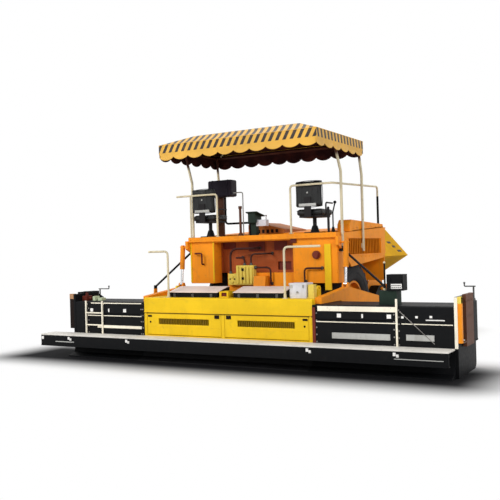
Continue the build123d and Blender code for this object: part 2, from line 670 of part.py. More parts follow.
def wing():
    """Folded sheet wing with hinge barrels, end wall and cylinder lug, on the right."""
    hx, hz = WING_HINGE[0], WING_HINGE[1] + 16
    a = (hx + 20, hz + 14)
    b, c = WING_KNUCKLE, WING_TOP
    n1 = offset_point(a, b, WING_SHEET)
    n2 = offset_point(b, c, WING_SHEET)
    inner_b = (b[0] - 30, b[1] + 4)
    section = [a, b, c, (c[0] + n2[0], c[1] + n2[1]), inner_b, (a[0] + n1[0], a[1] + n1[1])]
    sheet = cross_plate(section, WING_STATIONS)
    wall_outline = [(a[0] + 30, a[1] + 60), inner_b, (c[0] + n2[0], c[1] + n2[1]), (c[0] - 120, c[1] - 180),
                    (hx + 20, hz + 300)]
    wall = cross_plate(wall_outline, (WING_STATIONS[0], WING_STATIONS[0] + 20))
    flap = cross_plate(wall_outline, (WING_STATIONS[1] - 20, WING_STATIONS[1]))
    barrels = []
    starts = [y + WING_LUG_WIDTH + 2 for y in WING_LUGS[:-1]]
    ends = [y - 2 for y in WING_LUGS[1:]]
    for start, end in zip(starts, ends):
        barrels.append(bar((hx, start, hz), (hx, end, hz), 26))
    ex, ez = WING_CYLINDER_EYE
    y = WING_CYLINDER_STATION
    lug_outline = [(ex - 22, ez - 20), (ex + 22, ez - 20), (ex + 60, ez + 120), (ex - 60, ez + 50)]
    pin = bar((ex, y - 40, ez), (ex, y + 40, ez), 12)
    ears = [cross_plate(lug_outline, (y + low, y + high)) for low, high in ((-42, -24), (24, 42))]
    for start in WING_LUGS:
        notch = bar((hx, start - 5, hz), (hx, start + WING_LUG_WIDTH + 5, hz), 48)
        sheet -= notch
        wall -= notch
        flap -= notch
    whole = fused(sheet, wall, flap, *barrels, *ears, pin)
    return whole - bar((hx, WING_LUGS[0], hz), (hx, WING_LUGS[-1] + 60, hz), WING_PIN_R + RUNNING)


def along(start, end, distance):
    """A point a distance from start towards end, in (first, height) terms."""
    length = math.hypot(end[0] - start[0], end[1] - start[1])
    return (start[0] + (end[0] - start[0]) * distance / length,
            start[1] + (end[1] - start[1]) * distance / length)


def wing_cylinder():
    """Barrel on the chassis pin and rod to the wing's lug, on the right."""
    base, eye = WING_CYLINDER_BASE, WING_CYLINDER_EYE
    y = WING_CYLINDER_STATION

    def point(distance):
        x, z = along(base, eye, distance)
        return (x, y, z)

    barrel = bar(point(0), point(WING_BARREL), 30) + bar((base[0], y - 22, base[1]), (base[0], y + 22, base[1]), 28)
    barrel -= bar((base[0], y - 30, base[1]), (base[0], y + 30, base[1]), 13 + RUNNING)
    barrel -= bar(point(42), point(WING_BARREL + 5), 15 + RUNNING)
    rod = bar(point(WING_ROD_START), point(math.dist(base, eye)), 15)
    rod += bar((eye[0], y - 22, eye[1]), (eye[0], y + 22, eye[1]), 26)
    rod -= bar((eye[0], y - 30, eye[1]), (eye[0], y + 30, eye[1]), 12 + WING_EYE_PLAY)
    return barrel, rod


def wing_cylinder_bracket():
    """Chassis ears that hold the barrel's pin, on the right."""
    x, z = WING_CYLINDER_BASE
    y = WING_CYLINDER_STATION
    face = CONVEYOR_HALF + PLATE
    ears = [block((face, x + 30), (y + low, y + high), (z - 30, z + 30)) for low, high in ((-52, -34), (34, 52))]
    return fused(*ears, bar((x, y - 52, z), (x, y + 52, z), 13))


# ---------------------------------------------------------------- screed

def tow_arm():
    """Deep plate arm from the screed's end to the tow point, with the lift lug, on the right."""
    station, height = TOW_POINT
    outline = [
        (110, EXTENSION_TOP + WORKING), (820, EXTENSION_TOP + WORKING), (940, 800), (1500, 700),
        (station - 60, height - 75), (station + 60, height - 75), (station + 75, height + 40),
        (station - 20, height + 75), (2780, 830), (1130, 1110), (110, 1010),
    ]
    arm = side_plate(outline, ARM_X)
    y, z = LIFT_LUG
    ear_outline = [(y - 60, 1080), (y + 60, 1080), (y + 24, z + 24), (y - 24, z + 24)]
    ears = [side_plate(ear_outline, x) for x in ((ARM_X[0] + 2, LIFT_X - 26), (LIFT_X + 26, ARM_X[1] - 2))]
    pin = bar((ARM_X[0] + 4, y, z), (ARM_X[1] - 4, y, z), LIFT_PIN_R)
    arm = fused(arm, *ears, pin)
    return arm - bar((ARM_X[0] - 1, station, height), (ARM_X[1] + 1, station, height), TOW_PIN_R + RUNNING)


def lift_cylinder():
    """Barrel hung from the tractor's corner and rod to the tow arm, on the right."""
    top, lug = LIFT_TOP, LIFT_LUG

    def point(distance):
        y, z = along(top, lug, distance)
        return (LIFT_X, y, z)

    bore = LIFT_PIN_R + RUNNING
    barrel = bar(point(0), point(LIFT_BARREL), 42) + bar((LIFT_X - 24, *top), (LIFT_X + 24, *top), 34)
    barrel -= bar((LIFT_X - 60, *top), (LIFT_X + 60, *top), bore)
    barrel -= bar(point(60), point(LIFT_BARREL + 5), 22 + RUNNING)
    rod = bar(point(LIFT_ROD_TOP), point(math.dist(top, lug)), 22)
    rod += bar((LIFT_X - 24, *lug), (LIFT_X + 24, *lug), 30)
    rod -= bar((LIFT_X - 60, *lug), (LIFT_X + 60, *lug), LIFT_PIN_R + LIFT_EYE_PLAY)
    return barrel, rod


def main_screed():
    """Hollow box with two door bays in its rear face, a fixed upper band and the ironing plate."""
    half, wall = SCREED_WIDTH / 2, SCREED_WALL
    outline = [
        (0, 340), (0, SCREED_TOP - 20), (20, SCREED_TOP), (SCREED_DEPTH - 120, SCREED_TOP),
        (SCREED_DEPTH, SCREED_TOP - 120), (SCREED_DEPTH, 60), (SCREED_DEPTH - 60, 0), (-200, 0), (-200, 14),
        (-60, 60), (0, 200),
    ]
    body = side_plate(outline, (-half, half))
    hollow = [
        (wall, 340), (wall, SCREED_TOP - wall), (SCREED_DEPTH - 130, SCREED_TOP - wall),
        (SCREED_DEPTH - wall, SCREED_TOP - 130), (SCREED_DEPTH - wall, 90), (wall, 90),
    ]
    inside = side_plate(hollow, (-half + wall, -wall / 2)) + side_plate(hollow, (wall / 2, half - wall))
    body -= inside
    for x in door_spans():
        body -= block((x[0] - DOOR_GAP, x[1] + DOOR_GAP), (-1, wall + 1), (DOOR_SILL_Z - DOOR_GAP, CREASE_Z))
    for x in door_spans():
        body += door_pin(x)
    foot = (LIFTING[1] - 50, SCREED_TOP, LIFTING[1] + 50, LIFTING[2])
    eye = eye_plate(LIFTING, foot)
    body = fused(body, eye, mirrored(eye))
    bore = bar((LIFTING[0] - 1, *LIFTING[1:]), (LIFTING[0] + EYE_PLATE + 1, *LIFTING[1:]), EYE_BORE_R)
    return body - bore - mirrored(bore)


def door_spans():
    """(low, high) x of both doors."""
    half, post = SCREED_WIDTH / 2, DOOR_POST / 2
    return (-half + 60, -post), (post, half - 60)


def door_pin(x):
    """Hinge pins standing out of the bay's ends, along the door's lower edge."""
    y, z = DOOR_THICKNESS / 2, DOOR_SILL_Z + 14
    left = bar((x[0] - DOOR_GAP - 4, y, z), (x[0] + 40, y, z), DOOR_PIN_R)
    right = bar((x[1] - 40, y, z), (x[1] + DOOR_GAP + 4, y, z), DOOR_PIN_R)
    return Compound([left, right])


def screed_door(x):
    """Drop-down door with a long slotted grille."""
    top = CREASE_Z - DOOR_GAP
    y, z = DOOR_THICKNESS / 2, DOOR_SILL_Z + 14
    leaf = block(x, (0, DOOR_THICKNESS), (z, top)) + bar((x[0], y, z), (x[1], y, z), 14)
    centre = (x[0] + x[1]) / 2
    for row in (-34, 0, 34):
        leaf -= block((centre - 400, centre + 400), (-1, DOOR_THICKNESS + 1), (620 + row - 9, 620 + row + 9))
    leaf -= bar((x[0] - 1, y, z), (x[0] + 45, y, z), DOOR_PIN_R + RUNNING)
    leaf -= bar((x[1] - 45, y, z), (x[1] + 1, y, z), DOOR_PIN_R + RUNNING)
    return leaf


def extension(x):
    """Bolted screed extension: a channel-fronted box with its ironing plate."""
    top = EXTENSION_TOP
    outline = [
        (0, 340), (0, 700), (12, 712), (0, 724), (0, top - 12), (12, top), (EXTENSION_DEPTH - 60, top),
        (EXTENSION_DEPTH, top - 100), (EXTENSION_DEPTH, 60), (EXTENSION_DEPTH - 60, 0), (-200, 0), (-200, 14),
        (-60, 60), (0, 200),
    ]
    body = side_plate(outline, x)
    hollow = [(30, 120), (30, top - 24), (EXTENSION_DEPTH - 70, top - 24), (EXTENSION_DEPTH - 24, top - 110),
              (EXTENSION_DEPTH - 24, 120)]
    return body - side_plate(hollow, (x[0] + 20, x[1] - 20))


def extension_spans():
    """Inner and outer extension spans by side, with x measured outward."""
    half = SCREED_WIDTH / 2
    joint = half + INNER_EXTENSION
    return {
        side: ((half, joint), (joint, joint + OUTER_EXTENSION[side]))
        for side in ("left", "right")
    }


def end_gate(side):
    """Gate plate at the end of the extensions, with its post and height crank."""
    face = extension_spans()[side][1][1]
    x = (face, face + GATE_THICKNESS)
    outline = [(0, 0), (900, 0), (960, 60), (960, 420), (640, GATE_TOP), (0, GATE_TOP)]
    plate = side_plate(outline, x)
    post = block((face + GATE_THICKNESS, face + 90), (60, 140), (420, 1060))
    spindle = bar((face + 60, 100, 1060), (face + 60, 100, 1190), 12)
    crank = bar((face - 50, 100, 1190), (face + 90, 100, 1190), 10)
    return sided(fused(plate, post, spindle, crank), side)


def walkway():
    """Footboard on brackets behind the whole screed, with a deep rear channel."""
    top, low = WALKWAY_TOP, WALKWAY_TOP - WALKWAY_PLATE
    y = (-WALKWAY_DEPTH, 0)
    board = block((-WALKWAY_HALF, WALKWAY_HALF), y, (low, top))
    skirt = block((-WALKWAY_HALF, WALKWAY_HALF), (-WALKWAY_DEPTH, -WALKWAY_DEPTH + 30), (70, low))
    gussets = []
    for index in range(9):
        x = -WALKWAY_HALF + 60 + index * (2 * WALKWAY_HALF - 120) / 8
        gussets.append(side_plate([(-WALKWAY_DEPTH + 30, 120), (-WALKWAY_DEPTH + 30, low), (-40, low)], (x - 8, x + 8)))
    return fused(board, skirt, *gussets)


def screed_handrails():
    """Two bent handrails standing on the main screed, and the posts on the extensions."""
    top, end = SCREED_TOP, SCREED_WIDTH / 2
    joint = end + INNER_EXTENSION
    left = bent_tube([(400 - end, 130, top), (400 - end, 130, 1730), (20 - end, 130, 1730)], RAIL_R, 70)
    right = bent_tube([(end - 490, 130, top), (end - 490, 130, 1745), (end - 60, 130, 1745)], RAIL_R, 70)
    joint_post = block((joint - 12, joint + 12), (-24, 0), (WALKWAY_TOP, 1010))
    ladder = (-joint - 60, -joint + 310)
    ladder_posts = [block((x - 10, x + 10), (-22, 0), (WALKWAY_TOP, 930)) for x in ladder]
    rung = block(ladder, (-18, -4), (515, 535))
    return left, right, joint_post, fused(*ladder_posts, rung)


def screed_heaters():
    """Burner boxes and the gas block on top of the main screed."""
    top = SCREED_TOP
    left = block((-1080, -300), (190, 420), (top, top + 95))
    right = block((-30, 760), (190, 420), (top, top + 95))
    block_box = block((-270, -60), (200, 400), (top, top + 110))
    grey = block((830, 1150), (190, 400), (top, top + 150))
    yellow = block((1190, 1420), (200, 520), (top, top + 110))
    return left, right, block_box, grey, yellow


def screed_control_box():
    """Side control box on its stand, on the right-hand extension."""
    joint = SCREED_WIDTH / 2 + INNER_EXTENSION
    stand = block((joint - 300, joint - 50), (160, 360), (EXTENSION_TOP, 1110))
    box = block((joint - 180, joint + 50), (140, 320), (1110, 1330))
    pole = bar((joint - 240, 240, 1110), (joint - 240, 240, 1490), 12)
    return fused(stand, box, pole)


# ---------------------------------------------------------------- write the nodes

os.makedirs("parts", exist_ok=True)

save("chassis_frame", fused(chassis_frame(), wing_cylinder_bracket(), mirrored(wing_cylinder_bracket())))
save("engine_deck", engine_deck())
save("bulkhead", bulkhead())
save("engine_block", engine_block())
save("final_drives", final_drive(), mirrored(final_drive()))
save("bogie_beams", bogie_beam(), mirrored(bogie_beam()))
save("side_panels", side_panel(), mirrored(side_panel()))
save("engine_hood", engine_hood())
save("rear_panels", rear_panels())
save("operator_platform", operator_platform())
save("platform_rails", *platform_rails())
save("control_console", control_console())
save("seat_frames", *[seat_frame(centre) for centre in SEATS])
save("seat_pads", *[pad for centre in SEATS for pad in seat_pads(centre)])
save("exhaust", exhaust())
save("canopy_frame", canopy_frame())
save("canopy_cover", canopy_cover())
save("valve_block", valve_block())
save("hydraulic_hoses", *hydraulic_hoses())
save("conveyor", conveyor())
save("hopper_base", *hopper_base())
save("push_roller_frame", push_roller_frame())
save("auger_supports", *auger_supports())
save("tow_arms", tow_arm(), mirrored(tow_arm()))
save("main_screed", main_screed())
save("screed_extensions_inner", *[
    sided(extension(spans[0]), side) for side, spans in extension_spans().items()
])
save("screed_extensions_outer", *[
    sided(extension(spans[1]), side) for side, spans in extension_spans().items()
])
save("end_gates", *[end_gate(side) for side in ("left", "right")])
save("walkway", walkway())
save("screed_handrails", *screed_handrails())
save("screed_heaters", *screed_heaters())
save("screed_control_box", screed_control_box())
for door_side, span in zip(("left", "right"), door_spans()):
    save(f"screed_door_{door_side}", screed_door(span))
for hand in ("left", "right"):
    save(f"drive_rim_{hand}", sided(drive_rim(), hand))
    save(f"drive_tyre_{hand}", sided(drive_tyre(), hand))
    save(f"push_roller_{hand}", sided(push_roller(), hand))
    save(f"auger_{hand}", sided(auger(), hand))
    save(f"hopper_wing_{hand}", sided(wing(), hand))
    wing_barrel, wing_rod = wing_cylinder()
    save(f"wing_cylinder_{hand}", sided(wing_barrel, hand))
    save(f"wing_cylinder_rod_{hand}", sided(wing_rod, hand))
    lift_barrel, lift_rod = lift_cylinder()
    save(f"lift_cylinder_{hand}", sided(lift_barrel, hand))
    save(f"lift_cylinder_rod_{hand}", sided(lift_rod, hand))
    for place, station in STEER_STATIONS.items():
        save(f"steer_fork_{hand}_{place}", sided(wheel_fork(station), hand))
        save(f"steer_wheel_{hand}_{place}", sided(steer_wheel(station), hand))
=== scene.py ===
"""Looks of a wheeled asphalt paver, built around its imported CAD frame.

Pieces are drawn in millimetres: x to the machine's right, stations forward from the main screed's rear face
and heights above the ground. at() turns them into the frame's metres. The canopy's cloth, the tyres and the
seats are drawn in metres.
"""

import json
import math

import bmesh
import bpy
from mathutils import Matrix, Vector, noise


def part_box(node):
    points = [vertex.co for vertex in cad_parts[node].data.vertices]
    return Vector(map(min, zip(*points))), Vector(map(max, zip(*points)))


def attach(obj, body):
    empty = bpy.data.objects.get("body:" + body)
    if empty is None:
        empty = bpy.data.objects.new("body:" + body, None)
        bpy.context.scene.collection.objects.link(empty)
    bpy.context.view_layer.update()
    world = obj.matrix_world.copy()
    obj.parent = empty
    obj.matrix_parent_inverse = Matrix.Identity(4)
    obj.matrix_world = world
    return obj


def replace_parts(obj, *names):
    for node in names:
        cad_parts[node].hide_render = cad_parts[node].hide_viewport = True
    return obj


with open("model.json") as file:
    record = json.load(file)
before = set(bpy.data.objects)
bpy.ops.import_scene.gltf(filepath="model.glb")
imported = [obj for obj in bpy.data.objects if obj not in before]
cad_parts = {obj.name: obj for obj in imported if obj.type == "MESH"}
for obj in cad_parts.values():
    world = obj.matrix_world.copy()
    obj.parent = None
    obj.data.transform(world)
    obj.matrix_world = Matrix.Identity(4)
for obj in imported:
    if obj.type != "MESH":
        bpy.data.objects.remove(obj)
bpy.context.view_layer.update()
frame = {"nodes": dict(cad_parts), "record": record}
NODES = frame["nodes"]

SIDES = {"left": -1, "right": 1}
STEER_PLACES = ("leading", "trailing")
TAIL = 2.6  # station 0 lies this far behind the frame's origin
REARWARD = (0, -1, 0)

# Screed
SCREED_HALF = 1500
SCREED_TOP = 990
CREASE_Z = 755
DOOR_Z = (414, 749)
DOORS = {"left": (-1440, -35), "right": (35, 1440)}
DOOR_THICKNESS = 28
GRILLE_HALF = 480
GRILLE_Z = (570, 662)
GRILLE_GAPS = 30
JOINT = 2740  # x where the inner extension meets the outer one
EXTENSION_END = {"left": 3000, "right": 3500}
GATE_REACH = {"left": 180, "right": 90}
CRANK_TOP = {"left": 1085, "right": 1135}
CRANK_Y = 800
GEARBOX = (-2935, 220)  # x and station of the gearbox's hand wheel
EXTENSION_TOP = 913
WALKWAY_HALF = 3500
WALKWAY_Y = (-330, 0)
WALKWAY_Z = (180, 360, 380)  # skirt's lower edge, board's underside and top
LIP_Z = 0.7555  # metres: under the lip
LIP_SHADE_Z = (0.722, 0.75)  # metres: painted shadow under the lip, the screed darkening upward to the lip between these heights
DOOR_SHADE_Z = (0.728, 0.742)  # metres: the same painted shadow on the doors
SCREED_BLACK_BASE_Z = 0.345  # metres: the screed is black below this

# Tractor
BODY_HALF = 1400
PANEL_FACE = 1200  # station of the tank panels' rear face
RECESS = (-900, 610)
TANK_Z = (1160, 1930)
VALVE_FACE = 1300
AUGER_ARM_X, AUGER_ARM_Z = 1.2, 1.07  # metres: the auger supports are black further out and higher than this
PLATFORM_FRONT = 1820
DECK = 1960
HOOD_FRONT = 3300
CHEST = (1720, 1180, 2170)  # tool chest: rear station, inner x, top
BULKHEAD = (3400, 3430, 2040)  # stations of its faces and its top
RAIL_TOP = 2735
LEFT_RAIL_TOP = 2690
RAIL_R = 17
SILENCER_Z = (2680, 2978)
HUB_FACE = 1230

# Canopy cloth
CANOPY_HALF = 1.45
CANOPY_Y = (-2.17, -0.31)
EAVE_Z = 3.50
CANOPY_LEVELS = ((0.45, 0.37, 0.155), (0.95, 0.79, 0.24))  # steps in from the eave, and rise above it
RAFTER_DROP = (0.06, 0.03, 0.053)  # rafter centres below the cloth at the eave and at each level
RAFTER_R = 0.011
CLOTH_SAG = 0.014  # between the rafters
FASCIA = 0.135  # striped band below the eave
HEM_Z = 3.238  # lowest points of the scallops
SCALLOP_DROP = 0.055  # their depth
SCALLOP_PITCH = 0.29
CLOTH_THICKNESS = 0.003
PIPING_R = 0.004
POST_SHADE_Z = (3.13, 3.22)  # painted shade under the cloth: the canopy frame darkens upward between these heights
STRIPE_PITCH = 0.125
STRIPE_SHARE = 0.48
STRIPE_LEAN = (0.55, -0.25, 0.55, -0.25)  # sideways run of a stripe for each metre up, on each side
ROOF_STRIPE_LEAN = (-0.3, 0.1, -0.3, 0.1)  # the same on the roof panels

# Tyres
TREAD_DEPTH = 0.030
SHOULDER = 0.030  # from the sidewall in to the tread's edge
LUGS = 22
LUG_LEAN = 0.16  # radians that a bar leans back on its way out
LUG_HALF_WIDTH = (0.026, 0.042)  # in the middle and at the shoulder
TYRE_STEPS = 96
DRIVE_RIM_R = 0.400
HUB_BOLT_CIRCLE = 0.155
SOLID_TYRE_DISC_R = 0.175

# Seats
PAD_INSET = 0.012  # the pads start this much smaller than their CAD boxes
PAD_VOXEL = 0.010
PAD_CAP = 0.016  # the furthest that inflating moves a point
TALL_PAD = 0.3  # pads higher than this are backrests
SEAMS = (-0.36, 0.36)  # sewn channels, as shares of half the pad's width
SEAM_WIDTH = 0.035  # the same measure
SEAM_DEPTH = 0.011
SEAT_PIPING_R = 0.005
SEAT_PIPING_INSET = 0.016
SEAT_STATION = 1460
INFLATE_FRAMES = 20


# ---------------- materials

def screen(red, green, blue):
    """Linear colour of a screen colour given as 0 to 255."""
    def linear(value):
        value /= 255
        return value / 12.92 if value <= 0.04045 else ((value + 0.055) / 1.055) ** 2.4
    return (linear(red), linear(green), linear(blue), 1.0)


def shade(colour, factor):
    return tuple(min(1.0, channel * factor) for channel in colour[:3]) + (1.0,)


class Nodes:
    """A node tree, with short ways to add to it."""

    def __init__(self, tree):
        self.tree = tree

    def feed(self, target, value):
        """Links a socket to an input, or sets the input to a value."""
        if isinstance(value, bpy.types.NodeSocket):
            self.tree.links.new(value, target)
        elif value is not None:
            target.default_value = value

    def node(self, kind, inputs=(), **settings):
        made = self.tree.nodes.new("ShaderNode" + kind)
        for key, value in settings.items():
            setattr(made, key, value)
        for key, value in dict(inputs).items():
            self.feed(made.inputs[key], value)
        return made

    def math(self, operation, first, second=None):
        return self.node("Math", {0: first, 1: second}, operation=operation).outputs["Value"]

    def vector(self, operation, first, second=None):
        made = self.node("VectorMath", {0: first, 1: second}, operation=operation)
        return made.outputs["Value" if operation == "LENGTH" else "Vector"]

    def split(self, source):
        return self.node("SeparateXYZ", {0: source}).outputs

    def ramp(self, source, low, high):
        """0 below low, 1 above high."""
        inputs = {"From Min": low, "From Max": high, "Value": source}
        return self.node("MapRange", inputs, interpolation_type="SMOOTHSTEP").outputs["Result"]

    def mix(self, factor, first, second):
        return self.node("Mix", {0: factor, 6: first, 7: second}, data_type="RGBA").outputs[2]


class Finish(Nodes):
    """One procedural material."""

    def __init__(self, name, roughness=0.5, metallic=0.0, specular=0.5):
        self.name = name
        self.material = bpy.data.materials.new(name)
        self.material.use_nodes = True
        super().__init__(self.material.node_tree)
        self.shader = self.tree.nodes["Principled BSDF"].inputs
        for key, value in (("Roughness", roughness), ("Metallic", metallic), ("Specular IOR Level", specular)):
            self.shader[key].default_value = value
        self.place = self.node("TexCoord").outputs["Object"]

    def noise(self, scale, detail=3.0, stretch=(1, 1, 1)):
        place = self.node("Mapping", {"Scale": stretch, "Vector": self.place}).outputs["Vector"]
        return self.node("TexNoise", {"Scale": scale, "Detail": detail, "Vector": place}).outputs["Fac"]

    def patches(self, scale, detail, low, high, stretch=(1, 1, 1)):
        """Noise, 0 where it is below low and 1 where it is above high."""
        return self.ramp(self.noise(scale, detail, stretch), low, high)

    def inside(self, low, high):
        """1 inside the box from low to high, 0 outside it."""
        low, high = Vector(low), Vector(high)
        folded = self.vector("ABSOLUTE", self.vector("SUBTRACT", self.place, (low + high) / 2))
        across = self.split(self.vector("DIVIDE", folded, (high - low) / 2))
        largest = self.math("MAXIMUM", self.math("MAXIMUM", across["X"], across["Y"]), across["Z"])
        return self.math("LESS_THAN", largest, 1.0)

    def colour(self, source):
        self.feed(self.shader["Base Color"], source)

    def recolour(self, mask, colour):
        """Lays a mottled colour over the present one where the mask is 1."""
        base = self.shader["Base Color"].links[0].from_socket
        tone = self.mix(self.patches(6.0, 5, 0.35, 0.7), shade(colour, 0.8), shade(colour, 1.08))
        self.colour(self.mix(mask, base, tone))

    def rough(self, source, low, high):
        span = self.node("MapRange", {"To Min": low, "To Max": high, "Value": source})
        self.feed(self.shader["Roughness"], span.outputs["Result"])

    def bump(self, source, strength, distance):
        made = self.node("Bump", {"Strength": strength, "Distance": distance, "Height": source})
        self.feed(self.shader["Normal"], made.outputs["Normal"])


def paint(name, colour, dirt=(0.10, 0.075, 0.05, 1), grime=0.3, gloss=(0.42, 0.62), specular=0.16, chips=0.8):
    """Enamel with uneven tone, rain streaks, dust and small chips to the primer."""
    finish = Finish(name, specular=specular)
    tone = finish.mix(finish.patches(1.7, 4, 0.35, 0.7), shade(colour, 0.9), shade(colour, 1.06))
    streaks = finish.patches(3.0, 5, 0.52, 0.85, stretch=(5, 5, 0.35))
    soiled = finish.math("MAXIMUM", streaks, finish.patches(9.0, 6, 0.55, 0.8))
    tone = finish.mix(finish.math("MULTIPLY", soiled, grime), tone, dirt)
    chipped = finish.math("MULTIPLY", finish.patches(60.0, 2, 0.72, 0.76), chips)
    finish.colour(finish.mix(chipped, tone, (0.09, 0.08, 0.075, 1)))
    finish.rough(finish.noise(22.0, 4), *gloss)
    finish.bump(finish.noise(140.0, 2), 0.12, 0.002)
    return finish


def dark_paint(name, colour):
    return paint(name, colour, dirt=screen(46, 42, 39), grime=0.14, gloss=(0.42, 0.65), specular=0.1, chips=0.4)


def worn_steel(name, colour, roughness=(0.35, 0.6), metallic=0.85):
    """Rubbed steel: bright scuffs, dark scale."""
    finish = Finish(name, metallic=metallic)
    tone = finish.mix(finish.patches(7.0, 6, 0.35, 0.65), shade(colour, 0.55), colour)
    scuffs = finish.patches(30.0, 3, 0.6, 0.75, stretch=(1, 6, 1))
    finish.colour(finish.mix(scuffs, tone, shade(colour, 1.5)))
    finish.rough(finish.noise(18.0, 4), *roughness)
    finish.bump(finish.noise(90.0, 3), 0.2, 0.002)
    return finish


def rubber(name, colour=(0.012, 0.012, 0.013, 1), dust=0.25):
    """Dusty black rubber."""
    finish = Finish(name, specular=0.25)
    dusty = finish.math("MULTIPLY", finish.patches(4.0, 6, 0.45, 0.8), dust)
    finish.colour(finish.mix(dusty, colour, (0.12, 0.105, 0.085, 1)))
    finish.rough(finish.noise(30.0, 4), 0.65, 0.9)
    finish.bump(finish.noise(220.0, 2), 0.25, 0.002)
    return finish


def tread_plate(finish, pitch=0.036):
    """Raised bars of a chequered plate, each turned square to the next."""
    def from_middle(axis, offset):
        tile = finish.math("FRACT", finish.math("ADD", finish.math("DIVIDE", axis, pitch), offset))
        return finish.math("ABSOLUTE", finish.math("SUBTRACT", tile, 0.5))

    def lozenge(along, over, offset):
        wide = finish.math("MULTIPLY", from_middle(over, offset), 4.2)
        return finish.math("SUBTRACT", 0.62, finish.math("MAXIMUM", from_middle(along, offset), wide))

    x, y, _ = finish.split(finish.place)
    raised = finish.math("MAXIMUM", lozenge(x, y, 0.0), lozenge(y, x, 0.5))
    finish.bump(finish.ramp(raised, 0.10, 0.24), 0.55, 0.003)
    return finish


def canopy_cloth():
    """Coated canvas, yellow with leaning black stripes above the scalloped hem."""
    finish = Finish("canopy_canvas", roughness=0.7)
    cloth = finish.split(finish.node("UVMap", uv_map="cloth").outputs["UV"])
    share = finish.math("FRACT", finish.math("DIVIDE", cloth["X"], STRIPE_PITCH))
    band = finish.math("LESS_THAN", share, STRIPE_SHARE)
    striped = finish.math("MULTIPLY", band, finish.ramp(cloth["Y"], -0.002, 0.002))
    faded = finish.mix(finish.patches(2.2, 4, 0.35, 0.7), shade(CANOPY_YELLOW, 0.86), CANOPY_YELLOW)
    base = finish.mix(striped, faded, screen(30, 20, 16))
    stains = finish.math("MULTIPLY", finish.patches(5.0, 6, 0.5, 0.85), 0.25)
    finish.colour(finish.mix(stains, base, screen(120, 84, 48)))
    weave = finish.node("TexChecker", {"Scale": 900.0, "Vector": finish.place})
    finish.bump(weave.outputs["Fac"], 0.25, 0.0006)
    finish.shader["Sheen Weight"].default_value = 0.15
    return finish


def canopy_lining():
    finish = Finish("canopy_lining", roughness=0.9, specular=0.15)
    finish.colour(finish.mix(finish.patches(3.0, 4, 0.4, 0.7), screen(44, 16, 16), screen(72, 30, 24)))
    finish.bump(finish.noise(400.0, 2), 0.2, 0.001)
    return finish


def vinyl():
    """Grained black seat vinyl."""
    finish = Finish("seat_vinyl", specular=0.3)
    finish.colour(finish.mix(finish.patches(6.0, 4, 0.4, 0.75), screen(9, 10, 10), screen(20, 21, 22)))
    cells = finish.node("TexVoronoi", {"Scale": 420.0, "Vector": finish.place}, feature="DISTANCE_TO_EDGE")
    finish.rough(finish.noise(40.0, 3), 0.4, 0.58)
    finish.bump(finish.ramp(cells.outputs["Distance"], 0.0, 0.25), 0.3, 0.0008)
    return finish


def chrome():
    finish = Finish("chromed_rod", metallic=1.0)
    finish.colour(finish.mix(finish.patches(12.0, 4, 0.5, 0.8), screen(205, 206, 208), screen(160, 150, 138)))
    finish.rough(finish.noise(50.0, 3, (1, 1, 8)), 0.12, 0.3)
    return finish


ORANGE = screen(244, 148, 26)
YELLOW = screen(236, 194, 28)
BLACK = screen(13, 14, 16)
CREAM = screen(214, 202, 170)
CREAM_DIRT = screen(110, 96, 76)
CANOPY_YELLOW = screen(226, 172, 62)
# colour of the painted shadow under the screed's lip
LIP_SHADOW_COLOUR = screen(70, 46, 10)
GREENISH_BLACK = screen(34, 48, 40)

MADE_FINISHES = [
    # the part's own material slots
    paint("orange_paint", ORANGE),
    paint("screed_yellow", YELLOW, grime=0.15),
    dark_paint("black_paint", BLACK),
    paint("rail_paint", CREAM, dirt=CREAM_DIRT, grime=0.4),
    rubber("tyre_rubber"),
    paint("rim_paint", shade(ORANGE, 0.85), grime=0.5),
    worn_steel("bare_steel", screen(150, 146, 142)),
    paint("cylinder_steel", shade(ORANGE, 0.9), grime=0.4),
    chrome(),
    vinyl(),
    dark_paint("seat_steel", screen(34, 32, 33)),
    rubber("hose_rubber", screen(58, 26, 20)),
    worn_steel("engine_iron", screen(84, 84, 82), metallic=0.4),
    tread_plate(paint("walkway_steel", screen(226, 222, 214), dirt=screen(120, 108, 96))),
    # more for the pieces made here
    canopy_lining(),
    dark_paint("dark_green_paint", GREENISH_BLACK),
    dark_paint("silencer_paint", screen(40, 34, 44)),
    # near-black brown: the door latches' own colour, and painted shade in slots, ports and on the left-hand gate's post
    dark_paint("dark_brown_and_painted_shade", screen(24, 14, 10)),
    # orange darkened to brown with heavy grime: painted shade on the recess's back wall
    paint("recess_painted_shade", screen(168, 84, 40), dirt=screen(60, 26, 20), grime=0.6),
    paint("hem_tape", shade(CANOPY_YELLOW, 0.9), grime=0.2),
    paint("wing_paint", screen(222, 168, 36), gloss=(0.7, 0.85), specular=0.03),
    worn_steel("zinc_bolts", screen(190, 188, 180), roughness=(0.3, 0.5)),
]
# two of these colours are painted shade: the olive of the door grilles and the tan of the left-hand gate's cap
PLAIN_PAINTS = (
    ("plate_white", (242, 240, 236), 0.12), ("grey_strip", (178, 178, 174), 0.3),
    ("cream_strip", (246, 238, 218), 0.15), ("maroon_paint", (112, 46, 34), 0.3),
    ("brown_paint", (92, 56, 38), 0.35), ("dark_red_paint", (92, 34, 24), 0.3),
    ("light_grey_paint", (216, 217, 224), 0.15), ("pale_yellow_paint", (232, 206, 92), 0.3),
    ("grille_painted_shade", (150, 118, 18), 0.3), ("tan_painted_shade", (168, 128, 94), 0.3),
    ("pale_green_paint", (196, 208, 172), 0.3), ("heater_lid_paint", (244, 226, 216), 0.12),
    ("housing_paint", (176, 104, 44), 0.4),
)
MADE_FINISHES += [paint(name, screen(*colour), grime=grime) for name, colour, grime in PLAIN_PAINTS]
FINISHES = {finish.name: finish for finish in MADE_FINISHES}
FINISHES["canopy_cloth"] = canopy_cloth()


def repaint(node, finish):
    NODES[node].data.materials[0] = finish.material


